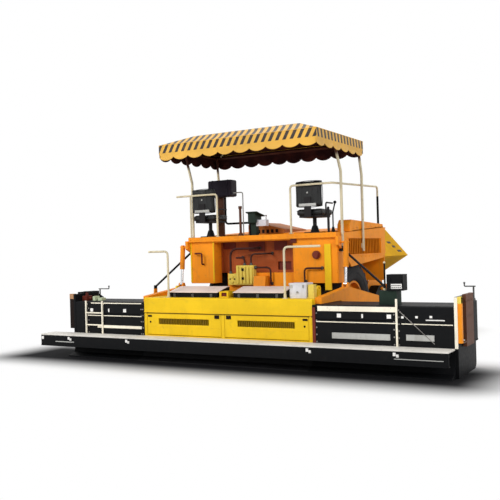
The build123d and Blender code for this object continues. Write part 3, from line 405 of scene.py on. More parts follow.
def dress_wheels():
    """Solid tyre and painted disc of the steered wheels, split at a radius round each axle."""
    for place in STEER_PLACES:
        low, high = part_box(f"steer_wheel_right_{place}")
        finish = rubber(f"solid_tyre_{place}")
        flat = finish.vector("MULTIPLY", finish.vector("SUBTRACT", finish.place, (low + high) / 2), (0, 1, 1))
        finish.recolour(
            finish.math("LESS_THAN", finish.vector("LENGTH", flat), SOLID_TYRE_DISC_R), shade(ORANGE, 0.8))
        for side in SIDES:
            repaint(f"steer_wheel_{side}_{place}", finish)


def dress_cad_nodes():
    """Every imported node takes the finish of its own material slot, and a few change colour at a place."""
    for row in frame["record"]["subparts"]:
        materials = NODES[row["node"]].data.materials
        materials.clear()
        materials.append(FINISHES[row["material_slot"]].material)
    dress_wheels()
    box = dark_paint("control_box_paint", BLACK)
    box.recolour(box.inside(at(2400, 100, 900), at(2705, 400, 1108)), GREENISH_BLACK)
    repaint("screed_control_box", box)
    screed = paint("screed_crease", YELLOW, grime=0.15)
    height = screed.split(screed.place)["Z"]
    # painted shadow under the proud lip above the doors
    lip_shadow = screed.math("MULTIPLY", screed.ramp(height, *LIP_SHADE_Z), screed.math("LESS_THAN", height, LIP_Z))
    screed.recolour(screed.math("MULTIPLY", lip_shadow, 0.9), LIP_SHADOW_COLOUR)
    # the screed is near-black below a fixed height
    screed.recolour(screed.math("LESS_THAN", height, SCREED_BLACK_BASE_Z), screen(24, 24, 26))
    repaint("main_screed", screed)
    supports = paint("auger_support_paint", ORANGE)
    place = supports.split(supports.place)
    outboard = supports.math("GREATER_THAN", supports.math("ABSOLUTE", place["X"]), AUGER_ARM_X)
    raised = supports.math("GREATER_THAN", place["Z"], AUGER_ARM_Z)
    supports.recolour(supports.math("MULTIPLY", outboard, raised), BLACK)
    repaint("auger_supports", supports)
    posts = paint("canopy_frame_paint_and_shade", CREAM, dirt=CREAM_DIRT, grime=0.4)
    # painted shade under the cloth: the frame darkens upward towards it
    posts.recolour(posts.ramp(posts.split(posts.place)["Z"], *POST_SHADE_Z), screen(70, 34, 24))
    repaint("canopy_frame", posts)
    for side in SIDES:
        repaint(f"hopper_wing_{side}", FINISHES["wing_paint"])


# ---------------- mesh helpers

def at(x, station, z):
    """Millimetres as a point of the frame."""
    return Vector((x / 1000, station / 1000 - TAIL, z / 1000))


def across(side, *reach):
    """Distances from the middle as ordered x on one side of the machine."""
    return sorted(SIDES[side] * x for x in reach)


def filling(low, high):
    """Matrix that makes a unit cube fill the box from low to high."""
    return Matrix.Translation((low + high) / 2) @ Matrix.Diagonal((*(high - low), 1))


def skin(mesh, rings, closed=False):
    """Faces between each ring of points and the next, and over the two ends unless the rings close."""
    for one, two in zip(rings, rings[1:] + rings[:1] * closed):
        for step in range(len(one)):
            following = (step + 1) % len(one)
            mesh.faces.new((one[step], one[following], two[following], two[step]))
    if not closed:
        mesh.faces.new(rings[0])
        mesh.faces.new(list(reversed(rings[-1])))


def mesh_data(name, mesh):
    """Turns a bmesh into mesh data and frees it."""
    data = bpy.data.meshes.new(name)
    mesh.to_mesh(data)
    mesh.free()
    return data


def shown(name, data):
    """A new object in the scene."""
    made = bpy.data.objects.new(name, data)
    bpy.context.scene.collection.objects.link(made)
    return made


def shade_smooth(data):
    data.polygons.foreach_set("use_smooth", [True] * len(data.polygons))


def settle(name, data, finishes, body, smooth=35):
    """Turns mesh data into a piece that rides on a body."""
    made = shown(name, data)
    for finish in finishes:
        data.materials.append(FINISHES.get(finish, finish).material)
    shade_smooth(data)
    data.set_sharp_from_angle(angle=math.radians(smooth))
    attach(made, body)
    return made


class Shape:
    """A mesh in the making, to which closed forms are added before it becomes one piece on a body."""

    def __init__(self, body="tractor"):
        self.body = body
        self.mesh = bmesh.new()

    def block(self, x, y, z, round_posts=0):
        matrix = filling(at(x[0], y[0], z[0]), at(x[1], y[1], z[1]))
        verts = bmesh.ops.create_cube(self.mesh, size=1, matrix=matrix)["verts"]
        if round_posts:
            edges = {edge for vert in verts for edge in vert.link_edges}
            upright = [edge for edge in edges if abs(edge.verts[0].co.z - edge.verts[1].co.z) > 1e-6]
            bmesh.ops.bevel(
                self.mesh, geom=upright, offset=round_posts / 1000, segments=5, affect="EDGES", profile=0.5)
        return self

    def prism(self, outline, push):
        """Closed plate: the outline's points, pushed along a vector."""
        face = self.mesh.faces.new([self.mesh.verts.new(point) for point in outline])
        grown = bmesh.ops.extrude_face_region(self.mesh, geom=[face])["geom"]
        moved = [item for item in grown if isinstance(item, bmesh.types.BMVert)]
        bmesh.ops.translate(self.mesh, verts=moved, vec=push)
        return self

    def side_plate(self, outline, x):
        """Plate with (station, z) corners between two x."""
        return self.prism([at(x[0], *corner) for corner in outline], Vector(((x[1] - x[0]) / 1000, 0, 0)))

    def cross_plate(self, outline, y):
        """Plate with (x, z) corners between two stations."""
        return self.prism([at(x, y[0], z) for x, z in outline], Vector((0, (y[1] - y[0]) / 1000, 0)))

    def framed(self, x, y, z, hole_x, hole_z):
        """Upright plate with a rectangular hole through it."""
        columns, rows = (x[0], *hole_x, x[1]), (z[0], *hole_z, z[1])
        grids = [[[self.mesh.verts.new(at(column, station, row)) for column in columns] for row in rows]
                 for station in y]
        for grid in grids:
            for i in range(3):
                for j in range(3):
                    if (i, j) != (1, 1):
                        self.mesh.faces.new((grid[i][j], grid[i][j + 1], grid[i + 1][j + 1], grid[i + 1][j]))
        rim = [(0, 0), (0, 1), (0, 2), (0, 3), (1, 3), (2, 3), (3, 3), (3, 2), (3, 1), (3, 0), (2, 0), (1, 0)]
        hole = [(1, 1), (1, 2), (2, 2), (2, 1)]
        for loop in (rim, hole):
            for (i, j), (k, m) in zip(loop, loop[1:] + loop[:1]):
                self.mesh.faces.new((grids[0][i][j], grids[0][k][m], grids[1][k][m], grids[1][i][j]))
        return self

    def bar(self, start, end, radius, segments=20, end_radius=None):
        start, end = at(*start), at(*end)
        line = end - start
        matrix = Matrix.Translation((start + end) / 2) @ line.to_track_quat("Z", "Y").to_matrix().to_4x4()
        bmesh.ops.create_cone(
            self.mesh, cap_ends=True, segments=segments, radius1=radius / 1000,
            radius2=(radius if end_radius is None else end_radius) / 1000, depth=line.length, matrix=matrix)
        return self

    def ball(self, centre, radius):
        bmesh.ops.create_uvsphere(
            self.mesh, u_segments=20, v_segments=10, radius=radius / 1000, matrix=Matrix.Translation(at(*centre)))
        return self

    def pipe(self, corners, radius, bend, segments=14):
        """Round tube whose corners are bent to an arc."""
        corners = [at(*corner) for corner in corners]
        path = [corners[0]]
        for before, corner, after in zip(corners, corners[1:], corners[2:]):
            to, away = (before - corner).normalized(), (after - corner).normalized()
            half = to.angle(away) / 2
            trim = min(bend / 1000 / math.tan(half), (before - corner).length * 0.49, (after - corner).length * 0.49)
            for step in range(7):
                share = step / 6
                path.append((corner + to * trim) * (1 - share) ** 2 + corner * 2 * share * (1 - share)
                            + (corner + away * trim) * share ** 2)
        path.append(corners[-1])
        return self.tube(path, radius / 1000, segments)

    def tube(self, points, radius, segments=14, closed=False):
        """Round tube along a run of points in metres."""
        rings = []
        count = len(points)
        side = None
        for index, point in enumerate(points):
            before = points[index - 1] if index or closed else point
            after = points[(index + 1) % count] if index < count - 1 or closed else point
            tangent = (after - before).normalized()
            side = tangent.orthogonal() if side is None else side - tangent * side.dot(tangent)
            side.normalize()
            up = tangent.cross(side)
            rings.append([
                self.mesh.verts.new(point + radius * (
                    side * math.cos(step * math.tau / segments) + up * math.sin(step * math.tau / segments)))
                for step in range(segments)
            ])
        skin(self.mesh, rings, closed)
        return self

    def bolts(self, places, outward, radius=11):
        """Hexagon heads with washers, standing on the given places."""
        for place in places:
            foot, washer, head = (
                [value + out * height for value, out in zip(place, outward)] for height in (-1, 3, radius * 0.8))
            self.bar(foot, washer, radius * 1.45, 16).bar(washer, head, radius, 6)
        return self

    def bolt_row(self, start, end, count, outward, radius=11):
        return self.bolts(
            [[a + (b - a) * index / (count - 1) for a, b in zip(start, end)] for index in range(count)],
            outward, radius)

    def both_sides(self):
        """Adds everything drawn so far again, mirrored across the machine."""
        drawn = [*self.mesh.verts, *self.mesh.edges, *self.mesh.faces]
        for item in bmesh.ops.duplicate(self.mesh, geom=drawn)["geom"]:
            if isinstance(item, bmesh.types.BMVert):
                item.co.x *= -1
        return self

    def make(self, name, finish, slot=None, bevel=3):
        """Ends the drawing: a piece with a finish. The slot argument is not used."""
        bmesh.ops.recalc_face_normals(self.mesh, faces=self.mesh.faces)
        made = settle(name, mesh_data(name, self.mesh), [finish], self.body)
        if bevel:
            rounding = made.modifiers.new("rounding", "BEVEL")
            rounding.width = bevel / 1000
            rounding.segments = 2
            rounding.limit_method = "ANGLE"
            rounding.angle_limit = math.radians(40)
            rounding.harden_normals = True
        return made


class Screed(Shape):
    """A shape that rides on the screed."""

    def __init__(self):
        super().__init__("screed")


def islands(node):
    """(low, high) corners of each separate solid of a CAD node."""
    mesh = bmesh.new()
    mesh.from_mesh(NODES[node].data)
    bmesh.ops.remove_doubles(mesh, verts=mesh.verts, dist=1e-5)
    todo = set(mesh.verts)
    found = []
    while todo:
        stack = [todo.pop()]
        low, high = stack[0].co.copy(), stack[0].co.copy()
        while stack:
            vert = stack.pop()
            low = Vector(map(min, low, vert.co))
            high = Vector(map(max, high, vert.co))
            for edge in vert.link_edges:
                other = edge.other_vert(vert)
                if other in todo:
                    todo.remove(other)
                    stack.append(other)
        found.append((low, high))
    mesh.free()
    return sorted(found, key=lambda pair: tuple(round(value, 2) for value in pair[0]))


# ---------------- screed

def main_screed_trim():
    """Proud lip above the doors and the bolts of the end flanges."""
    Screed().block((-SCREED_HALF, SCREED_HALF), (-12, 1), (CREASE_Z, CREASE_Z + 14)).make("screed_lip", "screed_yellow")
    bolts = Screed()
    for side in (-1, 1):
        x = side * (SCREED_HALF - 28)
        bolts.bolt_row((x, 0, 440), (x, 0, 940), 6, REARWARD, 8)
    bolts.make("screed_bolts", "screed_yellow", bevel=0)


def door(side):
    """Drop-down door: folded leaf with a long window of upright bars, latch, lock and hinge barrel."""
    low, high = DOORS[side]
    hand, body = SIDES[side], f"screed_door_{side}"
    middle = (low + high) / 2
    window = (middle - GRILLE_HALF, middle + GRILLE_HALF)
    sill, head = GRILLE_Z
    leaf = Shape(body).framed(DOORS[side], (0, DOOR_THICKNESS), DOOR_Z, window, GRILLE_Z)
    leaf.bar((low, 14, DOOR_Z[0]), (high, 14, DOOR_Z[0]), 14)
    leaf_paint = paint(f"door_paint_{side}", YELLOW, grime=0.15)
    height = leaf_paint.split(leaf_paint.place)["Z"]
    # painted shadow under the screed's lip along the top of the leaf
    leaf_paint.recolour(leaf_paint.math("MULTIPLY", leaf_paint.ramp(height, *DOOR_SHADE_Z), 0.8), LIP_SHADOW_COLOUR)
    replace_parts(leaf.make(f"door_leaf_{side}", leaf_paint, "screed_yellow"), f"screed_door_{side}")
    bars = Shape(body)
    for index in range(1, GRILLE_GAPS):
        x = window[0] + index * 2 * GRILLE_HALF / GRILLE_GAPS
        bars.side_plate([(5, sill - 2), (5, head + 2), (22, head + 2), (22, sill - 2)], (x - 5, x + 5))
    # the bars are yellow darkened to olive: painted shade inside the door's window
    bars.make(f"door_grille_{side}", "grille_painted_shade", "screed_yellow", bevel=1)
    inner, outer = (high, low) if hand < 0 else (low, high)
    dark = Shape(body).block(sorted((inner + hand * 28, inner + hand * 112)), (-7, 2), (678, 732))
    dark.block(sorted((outer - hand * 92, outer - hand * 14)), (-5, 2), (684, 714))
    dark.bar((outer - hand * 62, -6, 604), (outer - hand * 62, 2, 604), 15)
    dark.make(f"door_latches_{side}", "dark_brown_and_painted_shade", "black_paint", bevel=2)
    ribs = Shape(body).block((low + 12, high - 12), (-3, 1), (524, 530))
    ribs.block((window[0] - 14, window[1] + 14), (-4, 1), (head + 4, head + 12))
    ribs.make(f"door_ribs_{side}", "screed_yellow", bevel=1)


def outer_extension(side):
    """Bolted end extension with its ironing plate."""
    top = EXTENSION_TOP
    outline = [
        (0, 340), (0, top - 12), (12, top), (700, top), (760, top - 100), (760, 60), (700, 0), (-200, 0), (-200, 14),
        (-60, 60), (0, 200),
    ]
    body = Screed().side_plate(outline, (SIDES[side] * JOINT, SIDES[side] * EXTENSION_END[side]))
    body.block(across(side, JOINT, JOINT + 14), (-5, 1), (345, top - 14))
    return body.make(f"end_extension_{side}", "black_paint")


def extension_trim():
    """Cover strips, grey strips, pads, lids and flange bolts of the extensions, their guide and a chain."""
    cover, grey, white, bolts, lid = (Screed() for _ in range(5))
    for side, hand in SIDES.items():
        cover.block(across(side, 1560, 2720), (-8, 1), (676, 689))
        for pad, width in ((1880, 60), (2240, 24), (2600, 60)):
            white.block(across(side, pad, pad + width), (-6, 1), (745, 800))
        for x in (1530, 1566, 2700):
            bolts.bolt_row((hand * x, 0, 400), (hand * x, 0, 800), 5, REARWARD, 8)
        lid.block(across(side, 1520, EXTENSION_END[side] - 20), (40, 690), (911, 916))
    cover.block((1587, 2726), (-12, 1), (832, 901)).block((2800, 3480), (-8, 1), (674, 686))
    cover.block((-2640, -1560), (-8, 1), (884, 900)).block((-2500, -1560), (-12, 1), (478, 524))
    grey.block((1800, 2642), (-12, 1), (454, 536))
    grey.block((2863, 3236), (-12, 1), (463, 541))
    white.block((3130, 3378), (-10, 1), (730, 744))
    for x, z in ((2800, 752), (2990, 758), (3180, 764)):
        white.block((x, x + 34), (-5, 1), (z, z + 30))
    for x in (2764, -2764):
        bolts.bolt_row((x, 0, 400), (x, 0, 860), 6, REARWARD, 8)
    cover.make("extension_covers", "cream_strip", "rail_paint", bevel=2)
    grey.make("extension_strips", "grey_strip", "bare_steel", bevel=2)
    white.make("extension_pads", "plate_white", "rail_paint", bevel=2)
    bolts.make("extension_bolts", "bare_steel", bevel=0)
    lid.make("extension_lids", "black_paint", bevel=2)
    Screed().block((1502, 1548), (-10, 1), (350, 880)).make("extension_guide", "maroon_paint", "black_paint", bevel=2)
    brace = Screed().pipe([(2790, -14, 838), (3010, -16, 640), (3240, -14, 430)], 5, 40)
    for step in range(5):
        brace.ball((2790 + step * 48, -14, 838 - step * 43), 10)
    brace.make("extension_chain", "bare_steel", bevel=0)


def end_gate(side):
    """Gate plate with its rear post, guide, shoe, shelf and height crank."""
    hand, face = SIDES[side], EXTENSION_END[side]
    outer, limit = face + 40, face + GATE_REACH[side]
    right = side == "right"
    outline = [(0, 0), (900, 0), (960, 60), (960, 420), (700, 960), (560, 1040), (0, 1040)]
    plate = Screed().side_plate(outline, (hand * face, hand * outer)).make(f"gate_plate_{side}", "black_paint")
    # the left-hand gate's post, cap, guide and edge take darker colours than the right-hand gate's: painted shade
    post = Screed().block(across(side, outer, min(face + 132, limit)), (0, 70), (450, 1040))
    post.make(f"gate_post_{side}", "orange_paint" if right else "dark_brown_and_painted_shade", "orange_paint")
    cap = Screed().block(across(side, outer, min(face + 134, limit)), (-2, 72), (955, 1043))
    cap.make(f"gate_cap_{side}", "pale_yellow_paint" if right else "tan_painted_shade", "rail_paint")
    guide = Screed().block(across(side, outer, limit), (250, 650), (380, 1060))
    guide.block(across(side, outer, limit), (70, 250), (440, 456))
    for z in (560, 760, 960):
        guide.block(across(side, limit - 8, limit + (0 if right else 6)), (240, 660), (z, z + 26))
    guide.make(f"gate_guide_{side}", "brown_paint" if right else "black_paint", "black_paint")
    shoe = Screed().block(across(side, max(outer, limit - 60), limit), (650, 860), (400, 940))
    shoe.block(across(side, outer, limit), (700, 880), (396, 416)).make(f"gate_shoe_{side}", "black_paint")
    x, handle_x, top = hand * (limit - 27), hand * (face - 60), CRANK_TOP[side]
    crank = Screed().bar((x, CRANK_Y, 930), (x, CRANK_Y, top), 12)
    crank.bar((x, CRANK_Y, 942), (x, CRANK_Y, 975), 26, 24, 20)
    crank.pipe([(handle_x, CRANK_Y, top + 40), (handle_x, CRANK_Y, top), (hand * limit, CRANK_Y, top)], 9, 12)
    crank.ball((handle_x, CRANK_Y, top + 46), 15).make(f"gate_crank_{side}", "engine_iron", bevel=0)
    edge = Screed().block(across(side, face - 2, outer), (-4, 2), (380, 1038))
    edge.make(f"gate_edge_{side}", "cream_strip" if right else "black_paint", "rail_paint", bevel=1)
    marks = Screed()
    for station, z in ((10, 452), (150, 470), (330, 430), (700, 425)):
        marks.block(across(side, outer + 4, outer + 44), (station - 6, station + 22), (z, z + 12))
    marks.make(f"gate_fittings_{side}", "plate_white", "bare_steel", bevel=2)
    return plate


def gate_gearbox():
    """Small red gearbox with its hand wheel on the left-hand end extension."""
    box = Screed().block((-2990, -2880), (150, 300), (912, 1000), 14)
    x, station = GEARBOX
    box.bar((x, station, 998), (x, station, 1062), 30, 20, 22).bar((-2880, station, 955), (-2830, station, 955), 20)
    box.make("gate_gearbox", "dark_red_paint", "black_paint")

    def on_wheel(radius, share, z):
        return x + radius * math.cos(share * math.tau), station + radius * math.sin(share * math.tau), z
    wheel = Screed().tube([at(*on_wheel(62, step / 24, 1068)) for step in range(24)], 0.008, 10, closed=True)
    for spoke in range(3):
        wheel.bar((x, station, 1064), on_wheel(60, spoke / 3, 1068), 6)
    wheel.make("gate_hand_wheel", "black_paint", bevel=0)
    pale = Screed().block((-2790, -2740), (200, 330), (912, 990), 8).block((-2690, -2600), (220, 330), (912, 962), 8)
    pale.make("gauge_boxes", "pale_green_paint", "rail_paint")


def walkway():
    """Chequered footboard on gussets, with its rear channel and joint brackets."""
    half, (rear, front), (skirt, low, top) = WALKWAY_HALF, WALKWAY_Y, WALKWAY_Z
    board = Screed().block((-half, half), (rear, front - 2), (low, top))
    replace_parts(board.make("walkway_board", "walkway_steel"), "walkway")
    frame_shape = Screed().block((-half, half), (rear, rear + 30), (skirt, low))
    frame_shape.block((-half, half), (rear - 6, rear + 80), (skirt, skirt + 12))
    for index in range(9):
        x = -half + 60 + index * (2 * half - 120) / 8
        frame_shape.side_plate([(rear + 30, skirt + 30), (rear + 30, low), (-6, low), (-6, low - 60)], (x - 8, x + 8))
    frame_shape.make("walkway_frame", "black_paint")
    brackets = Screed()
    for side in (-1, 1):
        for x in (SCREED_HALF + 90, JOINT + 90):
            brackets.block((side * x - 42, side * x - 6), (rear - 12, rear), (300, 345))
            brackets.block((side * x + 2, side * x + 34), (rear - 16, rear), (285, 322))
            brackets.bolts([(side * x + 18, rear - 16, 304)], REARWARD, 8)
    brackets.block((-half + 20, -half + 70), (rear - 10, rear), (290, 340))
    brackets.make("walkway_brackets", "plate_white", "bare_steel", bevel=2)
    ledge = Screed().block((JOINT + 60, half - 60), (rear - 8, rear), (258, 268))
    ledge.block((-half + 340, -half + 760), (rear - 8, rear), (252, 268))
    ledge.make("walkway_ledges", "grey_strip", "bare_steel", bevel=2)


def screed_handrails():
    """Two bent handrails on the main screed, the post at the right joint and the ladder at the left one."""
    end, top, y = SCREED_HALF, SCREED_TOP, 130
    rails = Screed()
    for foot, tip, z in ((400 - end, 20 - end, 1730), (end - 490, end + 90, 1745)):
        rails.pipe([(foot, y, top), (foot, y, z), (tip, y, z)], RAIL_R, 70)
        rails.bar((foot, y, top), (foot, y, top + 8), 42, 28).bar((foot, y, top + 6), (foot, y, top + 60), 22)
    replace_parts(rails.make("handrails", "rail_paint", bevel=0), "screed_handrails")
    posts = Screed().block((JOINT - 12, JOINT + 12), (-26, 0), (WALKWAY_Z[2], 1010))
    ladder = (5 - JOINT, 365 - JOINT)
    for x in ladder:
        posts.block((x - 10, x + 10), (-40, -14), (WALKWAY_Z[2], 930))
        posts.block((x - 10, x + 10), (-16, 2), (860, 884))
    for z in (515, 718):
        posts.block(ladder, (-36, -18), (z, z + 20))
    posts.make("joint_posts", "cream_strip", "rail_paint", bevel=2)


def screed_heaters():
    """Burner covers with pale sloped lids, the gas block between them, a junction box and a yellow post."""
    top = SCREED_TOP
    covers, lids, feet = Screed(), Screed(), Screed()
    for x in ((-1136, -210), (83, 946)):
        covers.side_plate([(190, top), (190, top + 76), (500, top + 148), (560, top + 148), (560, top)], x)
        wide = (x[0] - 6, x[1] + 6)
        lids.side_plate([(184, top + 74), (184, top + 84), (500, top + 157), (566, top + 157), (566, top + 148),
                         (500, top + 148)], wide)
        for share in (0.12, 0.5, 0.88):
            place = x[0] + (x[1] - x[0]) * share
            feet.block((place - 22, place + 22), (180, 192), (top + 2, top + 58))
    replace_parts(covers.make("burner_covers", "black_paint"), "screed_heaters")
    lids.make("burner_lids", "heater_lid_paint", "rail_paint")
    feet.make("burner_catches", "engine_iron", "bare_steel")
    gas = Screed().framed((-172, -10), (190, 215), (top, top + 95), (-142, -40), (top + 18, top + 77))
    gas.block((-172, -10), (300, 420), (top, top + 95))
    for x, foot in (((-172, -158), 0), ((-24, -10), 0), ((-172, -10), 82)):
        gas.block(x, (214, 302), (top + foot, top + 95))
    gas.make("gas_block", "screed_yellow")
    Screed().block((-157, -25), (216, 299), (top + 1, top + 80)).make("gas_valve", "maroon_paint", "black_paint")
    grey = Screed().block((1046, 1324), (190, 420), (top, top + 215), 18)
    grey.block((1038, 1332), (182, 428), (top + 196, top + 222), 20)
    grey.make("junction_box", "light_grey_paint", "rail_paint")
    catches = Screed()
    for x in (1090, 1280):
        catches.block((x - 12, x + 12), (180, 192), (top + 150, top + 196))
    catches.bar((1185, 188, top + 90), (1185, 176, top + 90), 16)
    catches.make("junction_catches", "zinc_bolts", "bare_steel", bevel=1)
    post = Screed().block((1350, 1440), (200, 300), (top, top + 200))
    post.block((1338, 1452), (188, 312), (top, top + 14)).make("screed_post", "pale_yellow_paint", "screed_yellow")


def control_box_trim():
    """Blank white panel, switches and cable gland of the side control box."""
    Screed().block((2622, 2772), (134, 141), (1136, 1202)).make("control_panel", "plate_white", "rail_paint", bevel=1)
    knobs = Screed()
    for index in range(5):
        x = 2640 + index * 28
        knobs.bar((x, 134, 1182), (x, 124, 1182), 7, 16).block((x - 6, x + 6), (128, 135), (1146, 1160))
    knobs.bar((2600, 134, 1260), (2600, 118, 1260), 16, 20).bar((2760, 134, 1260), (2760, 122, 1260), 22, 24)
    knobs.make("control_knobs", "black_paint", bevel=0)
    cap = Screed().ball((JOINT - 240, 240, 1490), 16).bar((JOINT - 240, 240, 1108), (JOINT - 240, 240, 1140), 22)
    cap.make("control_pole_trim", "rail_paint", bevel=0)


# ---------------- tractor

def panel_top(station):
    """Height of the side panels' upper edge."""
    return 1951 + (station - 1450) * 0.0588


def tank_panels():
    """Tank panels with ribs, lamp, cap, handle and bolts, the recess between them, and the cylinders' brackets."""
    low, high = RECESS
    tanks = Shape()
    for x in ((-BODY_HALF, low), (high, BODY_HALF)):
        tanks.block(x, (PANEL_FACE, 1448), TANK_Z, 24)
    ear = [(1120, 1760), (1250, 1700), (1250, 1900), (1120, 1900)]
    brackets = Shape().side_plate(ear, (BODY_HALF, 1450)).bar((1450, 1190, 1800), (1600, 1190, 1800), 16)
    brackets.both_sides()
    tanks.block((low, high), (PANEL_FACE, 1290), (1860, TANK_Z[1]))
    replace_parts(tanks.make("tank_panels", "orange_paint", bevel=4), "rear_panels")
    brackets.make("cylinder_brackets", "orange_paint")
    wall_z = (1330, TANK_Z[1])
    wall = Shape().framed((low - 25, high + 25), (1500, 1520), wall_z, (180, 430), (1370, 1510))
    wall.block((290, 300), (1502, 1518), (1360, 1520))
    for x in (low - 25, high):
        wall.block((x, x + 25), (1448, 1502), wall_z)
    # the back wall is painted darker as shade in the recess
    wall.make("recess_wall", "recess_painted_shade", "orange_paint")
    # dark maroon blocks: machinery in the recess, their darkness partly painted shade
    dark = Shape().block((185, 425), (1530, 1536), (1366, 1512))
    dark.block((low + 8, -640), (1488, 1500), (1740, 1900)).block((-380, -60), (1486, 1500), (1690, 1850))
    dark.block((120, 360), (1488, 1500), (1700, 1856))
    dark.make("recess_machinery_and_shade", "maroon_paint", "engine_iron", bevel=8)
    rib = Shape().block((1180, 1290), (1176, 1202), (1050, 1780))
    rib.block((-1392, -1366), (1190, 1202), (1180, 1900)).block((-926, -904), (1192, 1202), (1180, 1900))
    rib.make("tank_ribs", "screed_yellow")
    Shape().block((588, 690), (1172, 1206), (1812, 1894)).make("rear_lamp", "dark_red_paint", "black_paint", bevel=6)
    cap = Shape().bar((1040, 1202, 1610), (1040, 1160, 1610), 66, 32)
    cap.bar((1040, 1162, 1610), (1040, 1138, 1610), 50, 12).make("filler_cap", "maroon_paint", "black_paint")
    handle = Shape().pipe([(-1270, 1202, 1680), (-1270, 1140, 1680), (-1120, 1140, 1680), (-1120, 1140, 1490),
                           (-1120, 1202, 1490)], 14, 30)
    handle.make("tank_handle", "dark_red_paint", "black_paint", bevel=0)
    bolts = Shape()
    for x in (-1385, -930, 650, 1375):
        bolts.bolt_row((x, PANEL_FACE, 1200), (x, PANEL_FACE, 1890), 6, REARWARD, 9)
    bolts.bolt_row((-860, PANEL_FACE, 1895), (570, PANEL_FACE, 1895), 12, REARWARD, 9)
    bolts.make("tank_bolts", "orange_paint", bevel=0)


def valves():
    """Stacked valve sections with their ports, and the hoses that leave them with a fitting at each end."""
    face = VALVE_FACE
    body = Shape().block((-640, -470), (face - 85, face), (1130, 1320))
    body.block((-470, -130), (face - 96, face), (1130, 1460))
    for x in range(-462, -140, 66):
        body.block((x, x + 46), (face - 115, face - 90), (1150, 1440))
    for z in (1180, 1270):
        body.bar((-555, face - 84, z), (-555, face - 104, z), 24, 24)
    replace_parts(body.make("valve_sections", "pale_yellow_paint", "screed_yellow", bevel=5), "valve_block")
    # near-black pads: painted shade in place of the ports' openings
    ports = Shape()
    for z in (1242, 1390):
        ports.block((-354, -310), (face - 119, face - 112), (z - 22, z + 22))
    for x in (-600, -510):
        ports.bar((x, face - 86, 1230), (x, face - 92, 1230), 13)
    ports.make("valve_ports", "dark_brown_and_painted_shade", "black_paint", bevel=1)
    hoses, ends = Shape(), Shape()
    for radius, bend, *corners in (
            (20, 150, (-610, 1257, 1320), (-610, 1257, 1745), (-150, 1257, 1745), (-150, 1500, 1745)),
            (15, 80, (-130, 1250, 1420), (170, 1250, 1420), (170, 1250, 1150), (170, 1300, 1150)),
            (15, 80, (-200, 1250, 1460), (-200, 1250, 1650), (80, 1250, 1650), (80, 1500, 1650)),
            (15, 60, (-320, 1240, 1460), (-320, 1240, 1590), (-500, 1240, 1590), (-500, 1500, 1590)),
            (15, 60, (840, 1200, 1190), (840, 1150, 1190), (840, 1150, 1400), (1130, 1150, 1400), (1130, 1200, 1400))):
        hoses.pipe(corners, radius, bend)
        for place, following in (corners[:2], corners[:-3:-1]):
            out = (Vector(following) - Vector(place)).normalized()
            root, collar, tip = (Vector(place) + out * reach for reach in (-2, 16, 40))
            ends.bar(root, collar, 30, 6).bar(collar, tip, 25, 20, 22)
    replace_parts(hoses.make("hydraulic_lines", "hose_rubber", bevel=0), "hydraulic_hoses")
    ends.make("hose_fittings", "engine_iron", "bare_steel", bevel=1)


def engine_hood():
    """Flat hood with the tool chest along its right-hand edge, and the slotted air housing behind the seats."""
    rear, front = PLATFORM_FRONT, HOOD_FRONT
    chest_rear, chest_x, chest_top = CHEST
    lid = Shape().side_plate([(rear, panel_top(rear)), (rear, panel_top(rear) + 24),
                              (front, panel_top(front) + 24), (front, panel_top(front))], (-BODY_HALF, BODY_HALF))
    end_z = panel_top(front) + 60
    lid.side_plate([(chest_rear, panel_top(rear)), (chest_rear, chest_top - 80), (chest_rear + 70, chest_top),
                    (front - 20, end_z), (front, panel_top(front)), (rear, panel_top(rear))], (chest_x, BODY_HALF))
    lid.block((-BODY_HALF + 4, BODY_HALF - 4), (front - 4, BULKHEAD[1] + 4), (BULKHEAD[2] + 1, BULKHEAD[2] + 24))
    for x in ((-BODY_HALF + 4, -BODY_HALF + 32), (BODY_HALF - 32, BODY_HALF - 4)):
        lid.block(x, (front - 4, BULKHEAD[0] + 4), (1592, BULKHEAD[2] + 10))
    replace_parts(lid.make("hood", "orange_paint", bevel=6), "engine_hood")
    low, crest = panel_top(rear) + 5, chest_top + 28
    housing = Shape().cross_plate([(-570, low), (-570, crest - 40), (-530, crest), (-380, crest), (150, crest - 130),
                                   (150, low)], (rear, rear + 880))
    housing.make("air_housing", "housing_paint", "orange_paint", bevel=10)
    # near-black strips: painted shade in place of the housing's slots
    slots = Shape()
    for index in range(6):
        station = rear + 120 + index * 130
        slots.block((-576, -566), (station, station + 70), (crest - 150, crest - 60))
        slots.block((-470 + index * 90, -420 + index * 90), (rear - 5, rear + 3), (low + 30, low + 90))
    slots.make("air_slots", "dark_brown_and_painted_shade", "black_paint", bevel=2)
    trim = Shape()
    for x in (chest_x + 30, BODY_HALF - 30):
        trim.block((x - 14, x + 14), (chest_rear - 8, chest_rear + 2), (2010, 2060))
    trim.bolt_row((BODY_HALF, 1860, 2030), (BODY_HALF, 3240, 2086), 9, (1, 0, 0), 9)
    trim.bolt_row((-BODY_HALF, 1860, 1972), (-BODY_HALF, 3240, 2052), 9, (-1, 0, 0), 9)
    trim.make("hood_fittings", "orange_paint", bevel=1)


